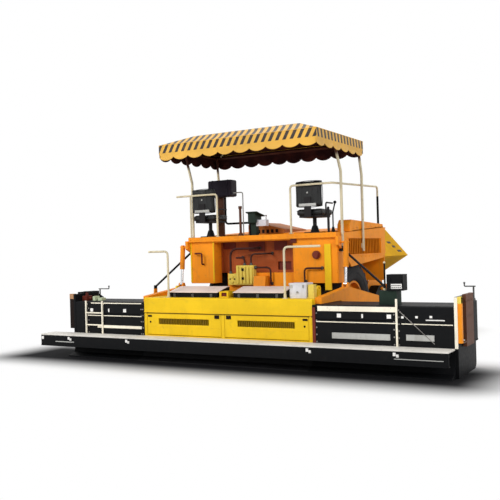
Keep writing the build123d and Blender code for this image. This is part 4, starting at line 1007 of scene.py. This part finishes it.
def exhaust():
    """Silencer on a square post, with its tail pipe and a thin guard rail."""
    low, high = SILENCER_Z
    box = Shape().block((-1290, -800), (1642, 1858), (low, high))
    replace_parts(box.make("silencer", "silencer_paint", "black_paint", bevel=26), "exhaust")
    straps = Shape()
    for x in (-1210, -890):
        straps.block((x, x + 26), (1638, 1862), (low - 4, high + 4))
    straps.make("silencer_straps", "silencer_paint", "black_paint", bevel=24)
    post = Shape().block((-1170, -1050), (1768, 1818), (DECK, low + 4))
    post.block((-1200, -1020), (1752, 1818), (DECK, DECK + 14))
    post.make("silencer_post", "brown_paint", "black_paint", bevel=6)
    pipe = Shape().pipe([(-1015, 1790, low + 10), (-1015, 1790, 2200), (-505, 1790, 2200), (-505, 1790, DECK)], 18, 60)
    pipe.make("tail_pipe", "black_paint", bevel=0)
    guard = Shape().pipe([(-810, 1710, low + 60), (-600, 1710, low + 60), (-600, 1710, DECK)], 10, 40)
    guard.make("silencer_guard", "grey_strip", "rail_paint", bevel=0)


def platform_rails():
    """Guard rails round the back and the right-hand side and behind the left seat, and the front foot's sleeve."""
    back, side_x, foot = 1175, BODY_HALF - 50, 3180
    chest_foot = CHEST[2] - 68
    rails = Shape().pipe([(610, back, DECK), (610, back, RAIL_TOP), (side_x, back, RAIL_TOP),
                          (side_x, foot, RAIL_TOP + 60), (side_x, foot, chest_foot)], RAIL_R, 60)
    rails.bar((side_x, 1530, DECK), (side_x, 1530, RAIL_TOP + 10), RAIL_R - 3)
    rails.pipe([(-800, back, DECK), (-800, back, LEFT_RAIL_TOP), (-side_x - 290, back, LEFT_RAIL_TOP)], RAIL_R, 60)
    rails.bar((-side_x, back, DECK), (-side_x, back, LEFT_RAIL_TOP), RAIL_R - 3)
    for x, station in ((610, back), (side_x, 1530), (-800, back), (-side_x, back)):
        rails.bar((x, station, DECK), (x, station, DECK + 8), 38, 28)
    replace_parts(rails.make("guard_rails", "rail_paint", bevel=0), "platform_rails")
    sleeve = Shape().bar((side_x, foot, chest_foot), (side_x, foot, 2620), RAIL_R + 3)
    sleeve.bar((side_x, foot, chest_foot - 12), (side_x, foot, chest_foot + 6), 40, 28)
    sleeve.make("rail_sleeve", "black_paint", bevel=0)


def console():
    """Instrument console with its gauges and side box, and the levers beside it."""
    head = Shape().block((-330, -225), (1500, 1600), (DECK, 2180))
    head.side_plate([(1430, 2180), (1660, 2180), (1660, 2290), (1430, 2350)], (-345, -205))
    head.side_plate([(1400, 2352), (1400, 2372), (1690, 2310), (1690, 2290)], (-372, -150))
    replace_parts(head.make("console", "dark_green_paint", "black_paint", bevel=5), "control_console")
    gauges = Shape()
    for index, x in enumerate((-325, -260, -195)):
        gauges.bar((x, 1470, 2352), (x, 1466, 2366), 24 - 4 * (index % 2), 28)
    gauges.make("gauges", "plate_white", "rail_paint", bevel=1)
    side_box = Shape().block((-225, -30), (1500, 1600), (2120, 2230))
    side_box.make("console_side_box", "light_grey_paint", "rail_paint", bevel=6)
    small = Shape().bar((-535, 1500, DECK), (-535, 1500, 2440), 22).bar((-535, 1500, 2436), (-535, 1500, 2482), 32)
    small.bar((-535, 1500, DECK), (-535, 1500, DECK + 60), 60, 24, 26)
    for x, lean in ((-300, 0), (-262, 20), (-60, 10)):
        small.bar((x, 1560, 2225), (x + lean, 1545, 2290), 6).ball((x + lean, 1545, 2296), 14)
    small.make("console_levers", "brown_paint", "black_paint", bevel=0)


def seat_trim():
    """Boots and rear plates of the seats, the pod post and the bent lever beside the right-hand one."""
    boots, plates = Shape(), Shape()
    for low, high in islands("seat_pads"):
        if high.z - low.z < TALL_PAD:
            continue
        centre = (low.x + high.x) * 500
        for fold in range(4):
            foot = DECK + 18 + fold * 26
            boots.bar((centre, SEAT_STATION, foot), (centre, SEAT_STATION, foot + 28), 78 - fold * 8, 28, 66 - fold * 8)
        plates.block((centre - 150, centre + 150), (1192, 1208), (2392, 2436))
        plates.block((centre - 12, centre + 12), (1196, 1208), (2596, 2622))
    boots.make("seat_boots", "black_paint", "seat_steel", bevel=0)
    plates.make("seat_plates", "grey_strip", "bare_steel")
    post = Shape().bar((1240, 1240, DECK), (1240, 1240, 2350), 20).ball((1240, 1240, 2350), 20)
    post.make("pod_post", "seat_steel", bevel=0)
    lever = Shape().pipe([(1270, 1350, DECK), (1270, 1350, 2280), (1302, 1370, 2430)], 11, 60)
    lever.ball((1302, 1370, 2440), 26).bar((1270, 1350, DECK), (1270, 1350, DECK + 90), 34, 24, 18)
    lever.make("bent_lever", "black_paint", bevel=0)


def louvre_frames():
    """Folded frames round the side panels' louvres, and the panels' fixings."""
    face, trim = BODY_HALF, Shape()
    stations, heights = (1625, 3155), (1585, 1875)
    for z in heights:
        trim.block((face - 2, face + 8), stations, (z - 9, z + 9))
    for station in stations:
        trim.block((face - 2, face + 8), (station - 9, station + 9), heights)
    trim.bolt_row((face, 1650, 1556), (face, 3130, 1556), 9, (1, 0, 0), 8)
    trim.both_sides()
    trim.make("louvre_frames", "orange_paint", bevel=2)


def wing_marks(side):
    """Dark slots and the fold line on the outside of a hopper wing."""
    knuckle, crest = Vector((1280, 1530)), Vector((800, 2080))
    out = Vector((crest.y - knuckle.y, knuckle.x - crest.x)).normalized()

    def strip(shape, share, rise, proud, stations):
        low, high = knuckle.lerp(crest, share), knuckle.lerp(crest, share + rise)
        corners = [low - out * 2, low + out * proud, high + out * proud, high - out * 2]
        shape.cross_plate([(SIDES[side] * x, z) for x, z in corners], stations)
    marks, fold = Shape(f"hopper_wing_{side}"), Shape(f"hopper_wing_{side}")
    for station, share, length in ((4470, 0.44, 190), (4570, 0.29, 150), (4650, 0.13, 210)):
        strip(marks, share, 0.07, 4, (station, station + length))
    # near-black strips: painted shade in place of the wing's slots
    marks.make(f"wing_slots_{side}", "dark_brown_and_painted_shade", "black_paint", bevel=1)
    strip(fold, 0.80, 0.03, 5, (3480, 5030))
    fold.make(f"wing_rib_{side}", "wing_paint", "orange_paint", bevel=2)


def tractor_bolts():
    """Fixings of the platform's rim and of the canopy posts' feet."""
    shape = Shape().bolt_row((-1360, 1150, 1920), (1360, 1150, 1920), 18, REARWARD, 8)
    for station in (1350, 2240):
        for x in (BODY_HALF + 10, -BODY_HALF - 10):
            shape.bolts([(x, station - 18, 1782), (x, station + 18, 1782)], (0, 0, 1), 7)
    shape.make("platform_bolts", "orange_paint", bevel=0)


# ---------------- canopy

def canopy_levels():
    """(half width, half length, height) of the cloth at the eave and at each step of the dome."""
    half_length = (CANOPY_Y[1] - CANOPY_Y[0]) / 2
    return [(CANOPY_HALF, half_length, EAVE_Z)] + [
        (CANOPY_HALF - dx, half_length - dy, EAVE_Z + rise) for dx, dy, rise in CANOPY_LEVELS
    ]


def rafters():
    """Hip rafters and crown bars under the cloth's dome."""
    middle = sum(CANOPY_Y) / 2
    shape = Shape()

    def knee(level, side, end):
        width, length, z = canopy_levels()[level]
        return Vector((side * (width - 0.035), middle + end * (length - 0.03), z - RAFTER_DROP[level]))
    for corner in ((-1, -1), (-1, 1), (1, -1), (1, 1)):
        shape.tube([knee(level, *corner) for level in range(3)], RAFTER_R, 12)
    for one, two in (((-1, -1), (1, -1)), ((-1, 1), (1, 1)), ((-1, -1), (-1, 1)), ((1, -1), (1, 1))):
        shape.tube([knee(2, *one), knee(2, *two)], RAFTER_R, 12)
    shape.make("canopy_rafters", "rail_paint", bevel=0)


def canopy():
    """One sheet: scalloped valance, striped fascia and domed roof, sagging a little between its rafters."""
    middle = sum(CANOPY_Y) / 2
    inset = CLOTH_THICKNESS
    levels = [(width - inset, length - inset, z) for width, length, z in canopy_levels()]
    fascia_z = EAVE_Z - FASCIA
    corners = ((-1, -1), (1, -1), (1, 1), (-1, 1))
    rows = [("skirt", share) for share in (0, 0.12, 0.3, 0.5, 0.7, 0.85, 1)] + [("fascia", 0.5), ("fascia", 1)]
    rows += [(level, share / 6) for level in (1, 2) for share in range(1, 7)]
    rows += [("cap", 0.35), ("cap", 0.7), ("cap", 1)]

    def on_side(index, share, size):
        (ax, ay), (bx, by) = corners[index], corners[(index + 1) % 4]
        return Vector((size[0] * (ax + (bx - ax) * share), middle + size[1] * (ay + (by - ay) * share)))

    def point_at(index, share, kind, value, lobes):
        out = Vector(((0, -1), (1, 0), (0, 1), (-1, 0))[index])
        slope = math.hypot(CANOPY_LEVELS[0][1 - index % 2], CANOPY_LEVELS[0][2])
        if kind in ("skirt", "fascia"):
            plan = on_side(index, share, levels[0])
            wave = abs(math.sin(math.pi * share * lobes))
            hem = HEM_Z + SCALLOP_DROP * (1 - wave ** 0.7)
            z = hem + (fascia_z - hem) * value if kind == "skirt" else fascia_z + FASCIA * value
            if kind == "skirt":
                plan -= out * (math.sin(math.pi * value) * 0.006 + 0.010 * (1 - value) * (1 - wave))
            up = z - fascia_z
        elif kind == "cap":
            width, length, z = levels[2]
            plan = on_side(index, share, (width, length)).lerp(on_side(index, share, (width - length, 0)), value)
            up = FASCIA + slope + 0.5 + value * length
            z -= 0.006 * value
        else:
            below, above = levels[kind - 1], levels[kind]
            plan = on_side(index, share, below).lerp(on_side(index, share, above), value)
            sag = CLOTH_SAG * math.sin(math.pi * value) * math.sin(math.pi * share) ** 0.6
            z = below[2] + (above[2] - below[2]) * value - sag
            z += 0.003 * noise.noise(Vector((plan.x * 5, plan.y * 5, 0))) * math.sin(math.pi * value)
            step = CANOPY_LEVELS[kind - 1]
            before = (0, 0, 0) if kind == 1 else CANOPY_LEVELS[0]
            run = math.hypot(step[1 - index % 2] - before[1 - index % 2], step[2] - before[2])
            up = FASCIA + (slope if kind == 2 else 0) + run * value
        run = (plan.x, plan.y, -plan.x, -plan.y)[index]
        lean = STRIPE_LEAN[index] * min(up, FASCIA) + ROOF_STRIPE_LEAN[index] * max(up - FASCIA, 0)
        return Vector((plan.x, plan.y, z)), (run - lean, up)

    mesh = bmesh.new()
    uv_layer = mesh.loops.layers.uv.new("cloth")
    for index in range(4):
        length = 2 * levels[0][index % 2]
        lobes = round(length / SCALLOP_PITCH)
        steps = lobes * 10
        previous = None
        for kind, value in rows:
            current = []
            for step in range(steps + 1):
                point, uv = point_at(index, step / steps, kind, value, lobes)
                current.append((mesh.verts.new(point), uv))
            if previous:
                for step in range(steps):
                    quad = (previous[step], previous[step + 1], current[step + 1], current[step])
                    face = mesh.faces.new([vert for vert, _ in quad])
                    for loop, (_, uv) in zip(face.loops, quad):
                        loop[uv_layer].uv = uv
            previous = current
    bmesh.ops.remove_doubles(mesh, verts=mesh.verts, dist=0.0004)
    bmesh.ops.dissolve_degenerate(mesh, dist=0.0001, edges=mesh.edges)
    bmesh.ops.recalc_face_normals(mesh, faces=mesh.faces)
    if sum(face.normal.z * face.calc_area() for face in mesh.faces) < 0:
        bmesh.ops.reverse_faces(mesh, faces=mesh.faces)
    cloth = settle("canopy_sheet", mesh_data("canopy_sheet", mesh), ["canopy_cloth", "canopy_lining"], "tractor",
                   60)
    thicken = cloth.modifiers.new("thickness", "SOLIDIFY")
    thicken.thickness = CLOTH_THICKNESS
    thicken.offset = -1
    thicken.material_offset = 1
    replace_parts(cloth, "canopy_cover")
    cord = []
    for index in range(4):
        for step in range(40):
            plan = on_side(index, step / 40, (levels[0][0] - 0.002, levels[0][1] - 0.002))
            cord.append(Vector((plan.x, plan.y, EAVE_Z - 0.002)))
    Shape().tube(cord, PIPING_R, 8, closed=True).make("canopy_piping", "hem_tape", "canopy_cloth", bevel=0)


# ---------------- tyres

def around(centre, x, radius, angle):
    """Point at a radius and an angle round a wheel's axle."""
    return centre.x + x, centre.y + radius * math.cos(angle), centre.z + radius * math.sin(angle)


def crown_radius(x, half, outer):
    """Outer radius of the tread at a distance from the wheel's middle plane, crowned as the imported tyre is."""
    shoulder, drop = half - SHOULDER, 0.045
    bend = (shoulder ** 2 + drop ** 2) / (2 * drop)
    return outer - bend + math.sqrt(max(0.0, bend ** 2 - min(abs(x), shoulder) ** 2))


def drive_tyre(side):
    """Earthmover tyre: carcass with sidewall ribs, and bars that lean back from the middle."""
    node = f"drive_tyre_{side}"
    low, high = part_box(node)
    centre = (low + high) / 2
    outer, half = (high.z - low.z) / 2, (high.x - low.x) / 2 - 0.011
    sidewall = ((0.035, 0.0), (0.008, 0.03), (0.000, 0.06), (-0.008, 0.10), (-0.009, 0.13), (-0.014, 0.135),
                (-0.014, 0.165), (-0.009, 0.17), (-0.009, 0.21), (-0.002, 0.25), (0.008, 0.28), (0.020, 0.296))
    flank = [(-half + out, DRIVE_RIM_R + rise) for out, rise in sidewall]
    tread = []
    for step in range(-4, 5):
        x = (half - SHOULDER) * step / 4
        tread.append((x, crown_radius(x, half, outer) - TREAD_DEPTH))
    profile = flank + tread + [(-x, radius) for x, radius in reversed(flank)]
    mesh = bmesh.new()
    skin(mesh, [[mesh.verts.new(around(centre, x, radius, math.tau * turn / TYRE_STEPS)) for x, radius in profile]
                for turn in range(TYRE_STEPS)], closed=True)
    add_lugs(mesh, centre, half, outer)
    bmesh.ops.recalc_face_normals(mesh, faces=mesh.faces)
    tyre = settle(f"tyre_{side}", mesh_data(f"tyre_{side}", mesh), ["tyre_rubber"], f"drive_wheel_{side}",
                  40)
    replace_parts(tyre, node)


def add_lugs(mesh, centre, half, outer):
    """Tread bars: each runs from the middle to the shoulder, leaning back, and wraps down the sidewall."""
    steps = 7
    for row, offset in ((-1, 0.75), (1, 0.25)):
        for index in range(LUGS):
            start = math.tau * (index + offset) / LUGS
            sections = []
            for step in range(steps + 1):
                share = step / steps
                x = row * (-0.012 + (half - 0.018) * share)
                top = crown_radius(x, half, outer) - (0.010 * max(0, share - 0.85) / 0.15)
                bottom = top - TREAD_DEPTH - 0.012
                width = LUG_HALF_WIDTH[0] + (LUG_HALF_WIDTH[1] - LUG_HALF_WIDTH[0]) * share
                corners = (-width, bottom), (-width * 0.78, top), (width * 0.78, top), (width, bottom)
                sections.append((x, start + LUG_LEAN * share ** 1.2, corners))
            tip = ((-0.040, outer - 0.13), (-0.032, outer - 0.065), (0.032, outer - 0.065), (0.040, outer - 0.13))
            sections.append((row * (half + 0.004), start + LUG_LEAN + 0.01, tip))
            skin(mesh, [[mesh.verts.new(around(centre, x, radius, middle + shift / outer)) for shift, radius in corners]
                        for x, middle, corners in sections])


def wheel_trim(side):
    """Hub bolts and cap of a drive wheel."""
    low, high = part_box(f"drive_rim_{side}")
    axle = (low + high) * 500 + Vector((0, TAIL * 1000, 0))
    axle.x = 0
    sign = SIDES[side]
    shape = Shape(f"drive_wheel_{side}")
    for index in range(12):
        place = around(axle, sign * (HUB_FACE - 12), HUB_BOLT_CIRCLE * 1000, math.tau * index / 12)
        shape.bar(place, (place[0] + sign * 26, *place[1:]), 13, 6)
    shape.bar((sign * (HUB_FACE - 10), *axle.yz), (sign * (HUB_FACE + 20), *axle.yz), 70, 32, 55)
    shape.make(f"hub_bolts_{side}", "zinc_bolts", "bare_steel", bevel=1)


# ---------------- seats

def rounded_box(low, high, radius):
    """Mesh data of a box with rounded edges."""
    mesh = bmesh.new()
    bmesh.ops.create_cube(mesh, size=1, matrix=filling(low, high))
    bmesh.ops.bevel(mesh, geom=list(mesh.edges), offset=radius, segments=4, affect="EDGES", profile=0.5)
    return mesh_data("pad", mesh)


def evaluated(made):
    return made.evaluated_get(bpy.context.evaluated_depsgraph_get())


def apply_modifiers(made):
    data = bpy.data.meshes.new_from_object(evaluated(made))
    made.modifiers.clear()
    made.data = data


def inflate(made):
    """Blows the pad up with cloth simulation, moving no point further than PAD_CAP."""
    before = [vert.co.copy() for vert in made.data.vertices]
    cloth = made.modifiers.new("cloth", "CLOTH")
    cloth.settings.use_pressure = True
    cloth.settings.uniform_pressure_force = 4
    cloth.settings.effector_weights.gravity = 0
    cloth.point_cache.frame_end = INFLATE_FRAMES
    scene = bpy.context.scene
    for step in range(1, INFLATE_FRAMES + 1):
        scene.frame_set(step)
    after = [vert.co.copy() for vert in evaluated(made).data.vertices]
    made.modifiers.remove(cloth)
    scene.frame_set(1)
    for vert, old, new in zip(made.data.vertices, before, after):
        step = new - old
        vert.co = old + step * min(1.0, PAD_CAP / max(step.length, 1e-6))


def sew(made, low, high, thin):
    """Presses two sewn channels into both faces of the pad, and flattens what rests on the frame."""
    size, centre = high - low, (low + high) / 2
    for vert in made.data.vertices:
        place = (vert.co.x - centre.x) / (size.x / 2)
        for seam in SEAMS:
            pull = math.exp(-((place - seam) / SEAM_WIDTH) ** 2) * SEAM_DEPTH
            vert.co[thin] -= pull if vert.co[thin] > centre[thin] else -pull
        for axis in range(3):
            vert.co[axis] = min(max(vert.co[axis], low[axis]), high[axis])
    made.data.update()


def seats():
    """Cushions and backrests: inflated closed forms with sewn channels and a piped edge."""
    made = []
    for low, high in islands("seat_pads"):
        size, centre = high - low, (low + high) / 2
        kind, thin, piping = ("backrest", 1, 0.22) if size.z > TALL_PAD else ("cushion", 2, 0.24)
        side = "left" if centre.x < 0 else "right"
        inset = Vector((PAD_INSET,) * 3)
        start_low = low + inset
        if kind == "cushion":
            start_low.z = low.z
        data = rounded_box(start_low, high - inset, 0.030)
        pad = settle(f"seat_{kind}_{side}", data, [], "tractor", 70)
        remesh = pad.modifiers.new("remesh", "REMESH")
        remesh.mode = "VOXEL"
        remesh.voxel_size = PAD_VOXEL
        apply_modifiers(pad)
        inflate(pad)
        sew(pad, low, high, thin)
        pad.data.materials.append(FINISHES["seat_vinyl"].material)
        shade_smooth(pad.data)
        smooth = pad.modifiers.new("smooth", "SUBSURF")
        smooth.levels = smooth.render_levels = 1
        made.append(pad)
        ring = []
        for step in range(64):
            angle = math.tau * step / 64
            cos, sin = math.cos(angle), math.sin(angle)
            bulge = 1 / max(abs(cos), abs(sin)) ** 0.82
            point = centre.copy()
            point.x += cos * bulge * (size.x / 2 - SEAT_PIPING_INSET)
            point[3 - thin] += sin * bulge * (size[3 - thin] / 2 - SEAT_PIPING_INSET)
            point[thin] += size[thin] * piping
            ring.append(point)
        Shape().tube(ring, SEAT_PIPING_R, 8, closed=True).make(f"seat_{kind}_piping_{side}", "seat_vinyl", bevel=0)
    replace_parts(made[0], "seat_pads")


# ---------------- stage, light and camera

CAMERA_PLACE = (5.92, -11.89, 1.704)
CAMERA_TURN = 30.2  # degrees left of straight ahead
CAMERA_TILT = 90.06  # degrees up from straight down
CAMERA_ROLL = -1.6
CAMERA_LENS = 52.2
SHADOW_BOXES = (((-3.75, -3.02), (3.6, -2.2)), ((-1.6, -2.2), (1.6, 2.6)))
SHADOW_REACH = 1.05  # metres over which the ground shadow fades to white
FLOOR = 60  # half the floor's width
AMBIENT = 0.36
WHITE_LIGHT = {"Color": (1, 1, 1, 1), "Strength": 1.0}


def camera():
    data = bpy.data.cameras.new("camera")
    data.lens = CAMERA_LENS
    data.sensor_width = 36
    data.clip_end = 200
    made = shown("camera", data)
    turns = [Matrix.Rotation(math.radians(angle), 4, axis)
             for angle, axis in ((CAMERA_TURN, "Z"), (CAMERA_TILT, "X"), (CAMERA_ROLL, "Z"))]
    made.matrix_world = Matrix.Translation(CAMERA_PLACE) @ turns[0] @ turns[1] @ turns[2]
    bpy.context.scene.camera = made


def area_light(name, place, target, size, power):
    data = bpy.data.lights.new(name, "AREA")
    data.shape = "DISK"
    data.size = size
    data.energy = power
    made = shown(name, data)
    made.location = place
    made.rotation_euler = (Vector(target) - Vector(place)).to_track_quat("-Z", "Y").to_euler()


def lights():
    area_light("key", (-6.0, -13.0, 9.5), (0, -1.0, 1.0), 6.0, 1260)
    area_light("fill", (11.0, -9.0, 6.0), (0, -1.0, 1.2), 7.0, 640)
    area_light("top", (0.0, 1.0, 11.0), (0, 0, 0), 7.0, 430)
    area_light("front", (5.0, 12.0, 7.0), (0, 0, 1.0), 6.0, 260)


def background():
    """White to the camera and in reflections, a plain pale light on the object."""
    world = bpy.data.worlds.new("world")
    bpy.context.scene.world = world
    world.use_nodes = True
    sky = Nodes(world.node_tree)
    ambient = sky.node("Background", {**WHITE_LIGHT, "Strength": AMBIENT})
    white = sky.node("Background", WHITE_LIGHT)
    rays = sky.node("LightPath").outputs
    reflected = sky.math("MAXIMUM", rays["Is Glossy Ray"], rays["Is Transmission Ray"])
    seen = sky.math("MAXIMUM", rays["Is Camera Ray"], reflected)
    mix = sky.node("MixShader", {0: seen, 1: ambient.outputs[0], 2: white.outputs[0]})
    sky.feed(sky.tree.nodes["World Output"].inputs["Surface"], mix.outputs[0])


def floor():
    """White floor, darkened round the machine's footprint like the soft contact shadow of a studio cut-out."""
    data = bpy.data.meshes.new("floor")
    data.from_pydata([(-FLOOR, -FLOOR, 0), (FLOOR, -FLOOR, 0), (FLOOR, FLOOR, 0), (-FLOOR, FLOOR, 0)], [],
                     [(0, 1, 2, 3)])
    made = shown("floor", data)
    finish = Finish("floor_paper", roughness=0.9, specular=0.1)
    distances = []
    for low, high in SHADOW_BOXES:
        centre = ((low[0] + high[0]) / 2, (low[1] + high[1]) / 2, 0)
        half = ((high[0] - low[0]) / 2, (high[1] - low[1]) / 2, 1)
        offset = finish.vector("ABSOLUTE", finish.vector("SUBTRACT", finish.place, centre))
        beyond = finish.vector("MAXIMUM", finish.vector("SUBTRACT", offset, half), (0, 0, 0))
        distances.append(finish.vector("LENGTH", beyond))
    distance = finish.math("MINIMUM", *distances)
    shadow = finish.math("POWER", finish.ramp(distance, 0.0, SHADOW_REACH), 0.8)
    finish.colour(finish.mix(shadow, (0.004, 0.004, 0.005, 1), (0.9, 0.9, 0.9, 1)))
    fade = finish.ramp(distance, SHADOW_REACH * 0.55, SHADOW_REACH * 1.3)
    white = finish.math("MULTIPLY", fade, finish.node("LightPath").outputs["Is Camera Ray"])
    mix = finish.node("MixShader", {0: white, 1: finish.tree.nodes["Principled BSDF"].outputs[0],
                                    2: finish.node("Emission", WHITE_LIGHT).outputs[0]})
    finish.feed(finish.tree.nodes["Material Output"].inputs["Surface"], mix.outputs[0])
    data.materials.append(finish.material)


# ---------------- put together

SCREED_PIECES = (main_screed_trim, extension_trim, gate_gearbox, walkway, screed_handrails, screed_heaters,
                 control_box_trim)
TRACTOR_PIECES = (tank_panels, valves, engine_hood, exhaust, platform_rails, console, seat_trim, louvre_frames,
                  tractor_bolts, rafters, canopy, seats)

dress_cad_nodes()
for build in SCREED_PIECES + TRACTOR_PIECES:
    build()
end_extensions = [outer_extension(side) for side in SIDES]
gate_plates = [end_gate(side) for side in SIDES]
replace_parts(end_extensions[0], "screed_extensions_outer")
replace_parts(gate_plates[0], "end_gates")
for side in SIDES:
    door(side)
    drive_tyre(side)
    wheel_trim(side)
    wing_marks(side)
camera()
lights()
background()
floor()
bpy.context.scene.view_settings.view_transform = "Standard"
